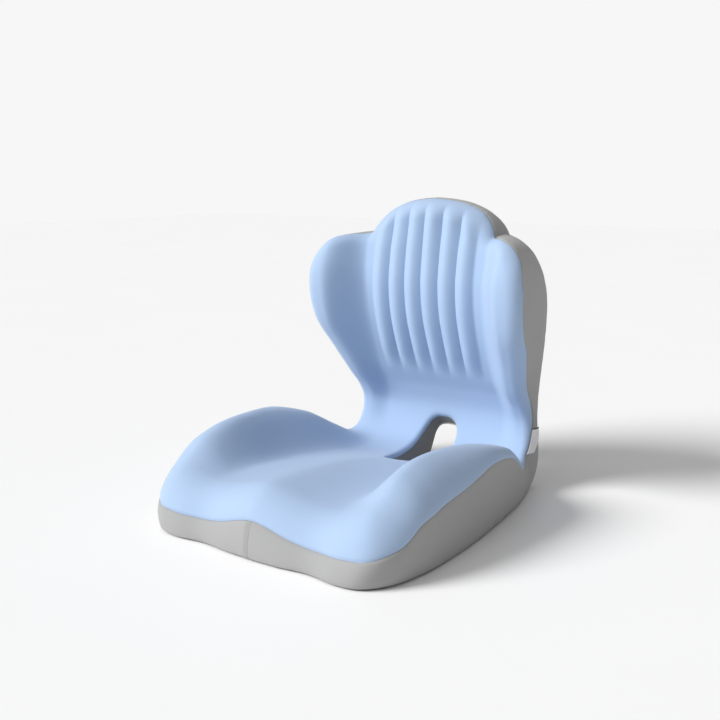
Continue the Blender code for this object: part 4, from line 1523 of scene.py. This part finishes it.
    def pull(self) -> bpy.types.Object:
        """The pull tab, with an eye for the arch and a sunk grip panel."""
        low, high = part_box("zip_pull")
        tab = Bench.block("zip_pull_tab", low, high)
        Bench.pick(tab, Pick(Vector((1, 0, 0))))
        bpy.ops.transform.resize(value=(1.0, 1.0, self.tab_taper))
        Bench.soften(self.tab_round)
        Bench.pick(tab, Pick(Vector((0, 1, 0)), 2e-5))
        bpy.ops.mesh.inset(thickness=0.0009, depth=-0.0002)
        bpy.ops.object.mode_set(mode="OBJECT")
        middle = (low + high) / 2
        eye_low = Vector((high.x - self.eye_near, low.y - 0.01, middle.z - self.eye_half))
        eye_high = Vector((high.x - self.eye_far, high.y + 0.01, middle.z + self.eye_half))
        Bench.combine(tab, Bench.block("eye_tool", eye_low, eye_high), "DIFFERENCE")
        for i in range(self.ribs):
            x = low.x + self.rib_start + self.rib_pitch * i
            rib = Bench.block("pull_rib", Vector((x, high.y - 0.0004, middle.z - 0.0020)),
                              Vector((x + 0.0007, high.y, middle.z + 0.0020)), 0.00014)
            Bench.combine(tab, rib, "UNION")
        return Bench.finish(tab)

    def build(self) -> None:
        """Makes and dresses the whole zip."""
        for name in ("upper", "lower"):
            dress(self.tape(name), ZIP_TAPE, ROOT_BODY, "zip_tape", "zip_tape_" + name)
            dress(self.coil(name), NYLON, ROOT_BODY, "zip_coil", "zip_coil_" + name)
        for name in ("right", "left"):
            dress(self.stop(name), NICKEL, ROOT_BODY, "zip_metal", "zip_stop_" + name)
        dress(self.slider(), NICKEL, SLIDER_BODY, "zip_metal", "zip_slider")
        dress(self.pull(), NICKEL, PULL_BODY, "zip_metal", "zip_pull")
        dress(self.window_fold(), GREY_KNIT, ROOT_BODY, "band_fabric")
        dress(self.stitches(), THREAD, ROOT_BODY, "band_fabric")


# ---- the side tag ----------------------------------------------------------------------
@dataclass
class SideTag:
    """The blank folded ribbon in the right-hand seam."""

    cover: Cover
    width: float = 0.0160
    height: float = 0.0350
    # depth of the ribbon's near-black top edge
    dark_top_edge: float = 0.0012
    ply: float = 0.00040
    slit: float = 0.00015
    lift: float = 0.0005
    curl: float = 0.0010

    def surface(self, heights: np.ndarray, reach: np.ndarray) -> tuple[np.ndarray, np.ndarray]:
        """Points of the band behind the tag.

        Args:
            heights: heights above the floor.
            reach: distances from the seam.

        Returns:
            The points and the directions away from the foam.
        """
        shape, body = self.cover.shape, self.cover.body
        spokes = np.arange(shape.seat_spokes, shape.seat_spokes + shape.wing_spokes)
        rings = np.arange(body.seams[1], body.seams[2] + 1)
        strip = np.concatenate([self.cover.under_cloth, self.cover.inward], axis=-1)[np.ix_(spokes, rings)]
        rows = []
        for height in heights:
            line = np.array([
                [np.interp(height, strip[:, j, 2], strip[:, j, i]) for i in range(6)]
                for j in range(len(rings))
            ])
            run = run_lengths(line[:, :3])
            rows.append(np.stack([np.interp(reach, run, column) for column in line.T], axis=-1))
        found = np.array(rows)
        return found[..., :3], unit(found[..., 3:])

    def build(self) -> None:
        """Makes and dresses the tag."""
        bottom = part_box("side_tag")[0].z
        heights = bottom + np.linspace(0, self.height, 22)
        reach = np.linspace(0.0004, self.width, 20)
        points, away = self.surface(heights, reach)
        share = (reach / self.width)[None, :, None]
        tilt = ((heights - bottom) / self.height)[:, None, None]
        rise = self.lift + self.curl * share**2 * (0.7 + 0.3 * tilt) + 0.0002 * np.sin(7 * tilt + 5 * share)
        middle = points + away * rise
        far = unit(middle[:, -1] - middle[:, -2])
        skins = []
        for way in (1, -1):
            half = self.slit / 2 + (self.ply if way > 0 else 0.0)
            front = middle + away * half
            back = (middle - away * half)[:, ::-1]
            turn = np.radians(np.linspace(90, -90, 9)[1:-1])[None, :, None]
            fold = middle[:, -1:] + half * (away[:, -1:] * np.sin(turn) + far[:, None] * np.cos(turn))
            skins.append(np.concatenate([front, fold, back], axis=1))
        u = run_lengths(skins[0][0])
        v = np.linspace(0, self.height, len(heights))
        pattern = np.stack(np.broadcast_arrays(u[None], v[:, None]), axis=-1)
        tag = shell("blank_side_tag", skins[0], skins[1], pattern, False)
        dress(tag, TAG_RIBBON, ROOT_BODY, "tag_fabric", "side_tag")


# ---- studio ----------------------------------------------------------------------------
@dataclass(frozen=True)
class Lamp:
    """A far, wide lamp with soft shadows that lights the whole floor alike."""

    name: str
    azimuth: float
    elevation: float
    strength: float
    spread: float

    def build(self) -> None:
        """Hangs the lamp, turned towards the cushion."""
        turn, rise = math.radians(self.azimuth), math.radians(self.elevation)
        towards = Vector((math.sin(turn) * math.cos(rise), -math.cos(turn) * math.cos(rise), math.sin(rise)))
        light = bpy.data.lights.new(self.name, "SUN")
        light.energy = self.strength
        light.angle = math.radians(self.spread)
        item = bpy.data.objects.new(self.name, light)
        item.location = towards * 3
        item.rotation_euler = towards.to_track_quat("Z", "Y").to_euler()
        bpy.context.collection.objects.link(item)


@dataclass
class Studio:
    """Pale floor, soft lamps and the camera."""

    camera_place: tuple[float, float, float] = (0.770, -1.0566, 0.4627)
    azimuth: float = 36.3
    pitch: float = 10.9
    lens: float = 49.0
    sensor: float = 36.0
    floor_size: float = 14.0
    # Strength of the sky as a light, and of the pale backdrop that the camera meets.
    sky_light: float = 0.30
    sky_seen: float = 0.93
    floor_drop: float = 0.0004
    lamps: tuple[Lamp, ...] = (
        Lamp("key_lamp", -38.0, 33.0, 3.3, 26.0),
        Lamp("top_lamp", -20.0, 75.0, 0.40, 60.0),
    )

    def build(self) -> None:
        """Sets up the floor, the lamps, the surrounding light and the camera."""
        Bench.clear()
        bpy.ops.mesh.primitive_plane_add(size=self.floor_size, location=(0.0, 0.0, -self.floor_drop))
        bpy.ops.object.transform_apply(location=True, rotation=True, scale=True)
        floor = bpy.context.object
        floor.name = "studio_floor"
        shader = Shader("floor_paper")
        place = shader.node("ShaderNodeTexCoord", {}).outputs["Object"]
        paper = shader.blend(shader.noise(place, 3.0), (0.93, 0.93, 0.93), (0.95, 0.95, 0.95))
        shader.finish(paper, None, 0.0, 0.9, Specular_IOR_Level=0.1)
        floor.data.materials.append(shader.material)
        world = bpy.data.worlds.new("studio_world")
        world.use_nodes = True
        sky = world.node_tree.nodes["Background"]
        sky.inputs["Color"].default_value = (1.0, 1.0, 1.0, 1.0)
        seen = world.node_tree.nodes.new("ShaderNodeLightPath").outputs["Is Camera Ray"]
        strength = world.node_tree.nodes.new("ShaderNodeMapRange")
        strength.inputs["To Min"].default_value = self.sky_light
        strength.inputs["To Max"].default_value = self.sky_seen
        world.node_tree.links.new(seen, strength.inputs["Value"])
        world.node_tree.links.new(strength.outputs["Result"], sky.inputs["Strength"])
        bpy.context.scene.world = world
        bpy.context.scene.view_settings.view_transform = "Standard"
        for lamp in self.lamps:
            lamp.build()
        view = bpy.data.cameras.new("studio_camera")
        view.lens = self.lens
        view.sensor_width = self.sensor
        camera = bpy.data.objects.new("studio_camera", view)
        camera.location = self.camera_place
        camera.rotation_euler = (math.radians(90 - self.pitch), 0.0, math.radians(self.azimuth))
        bpy.context.collection.objects.link(camera)
        bpy.context.scene.camera = camera


def main() -> None:
    """Builds the cushion piece by piece, then the studio, and notes the sizes."""
    logging.basicConfig(level=logging.INFO, format="%(name)s: %(message)s")
    Studio().build()
    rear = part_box("back_panel")[1].y
    half_width = Shape.line_half * (CAD_BOX[1][0] - CAD_BOX[0][0]) / DRAWN_WIDTH
    cover = Cover(Shape(rear=rear, half_width=half_width))
    cover.build()
    Zip(rear=rear).build()
    SideTag(cover).build()


if __name__ == "__main__":
    main()
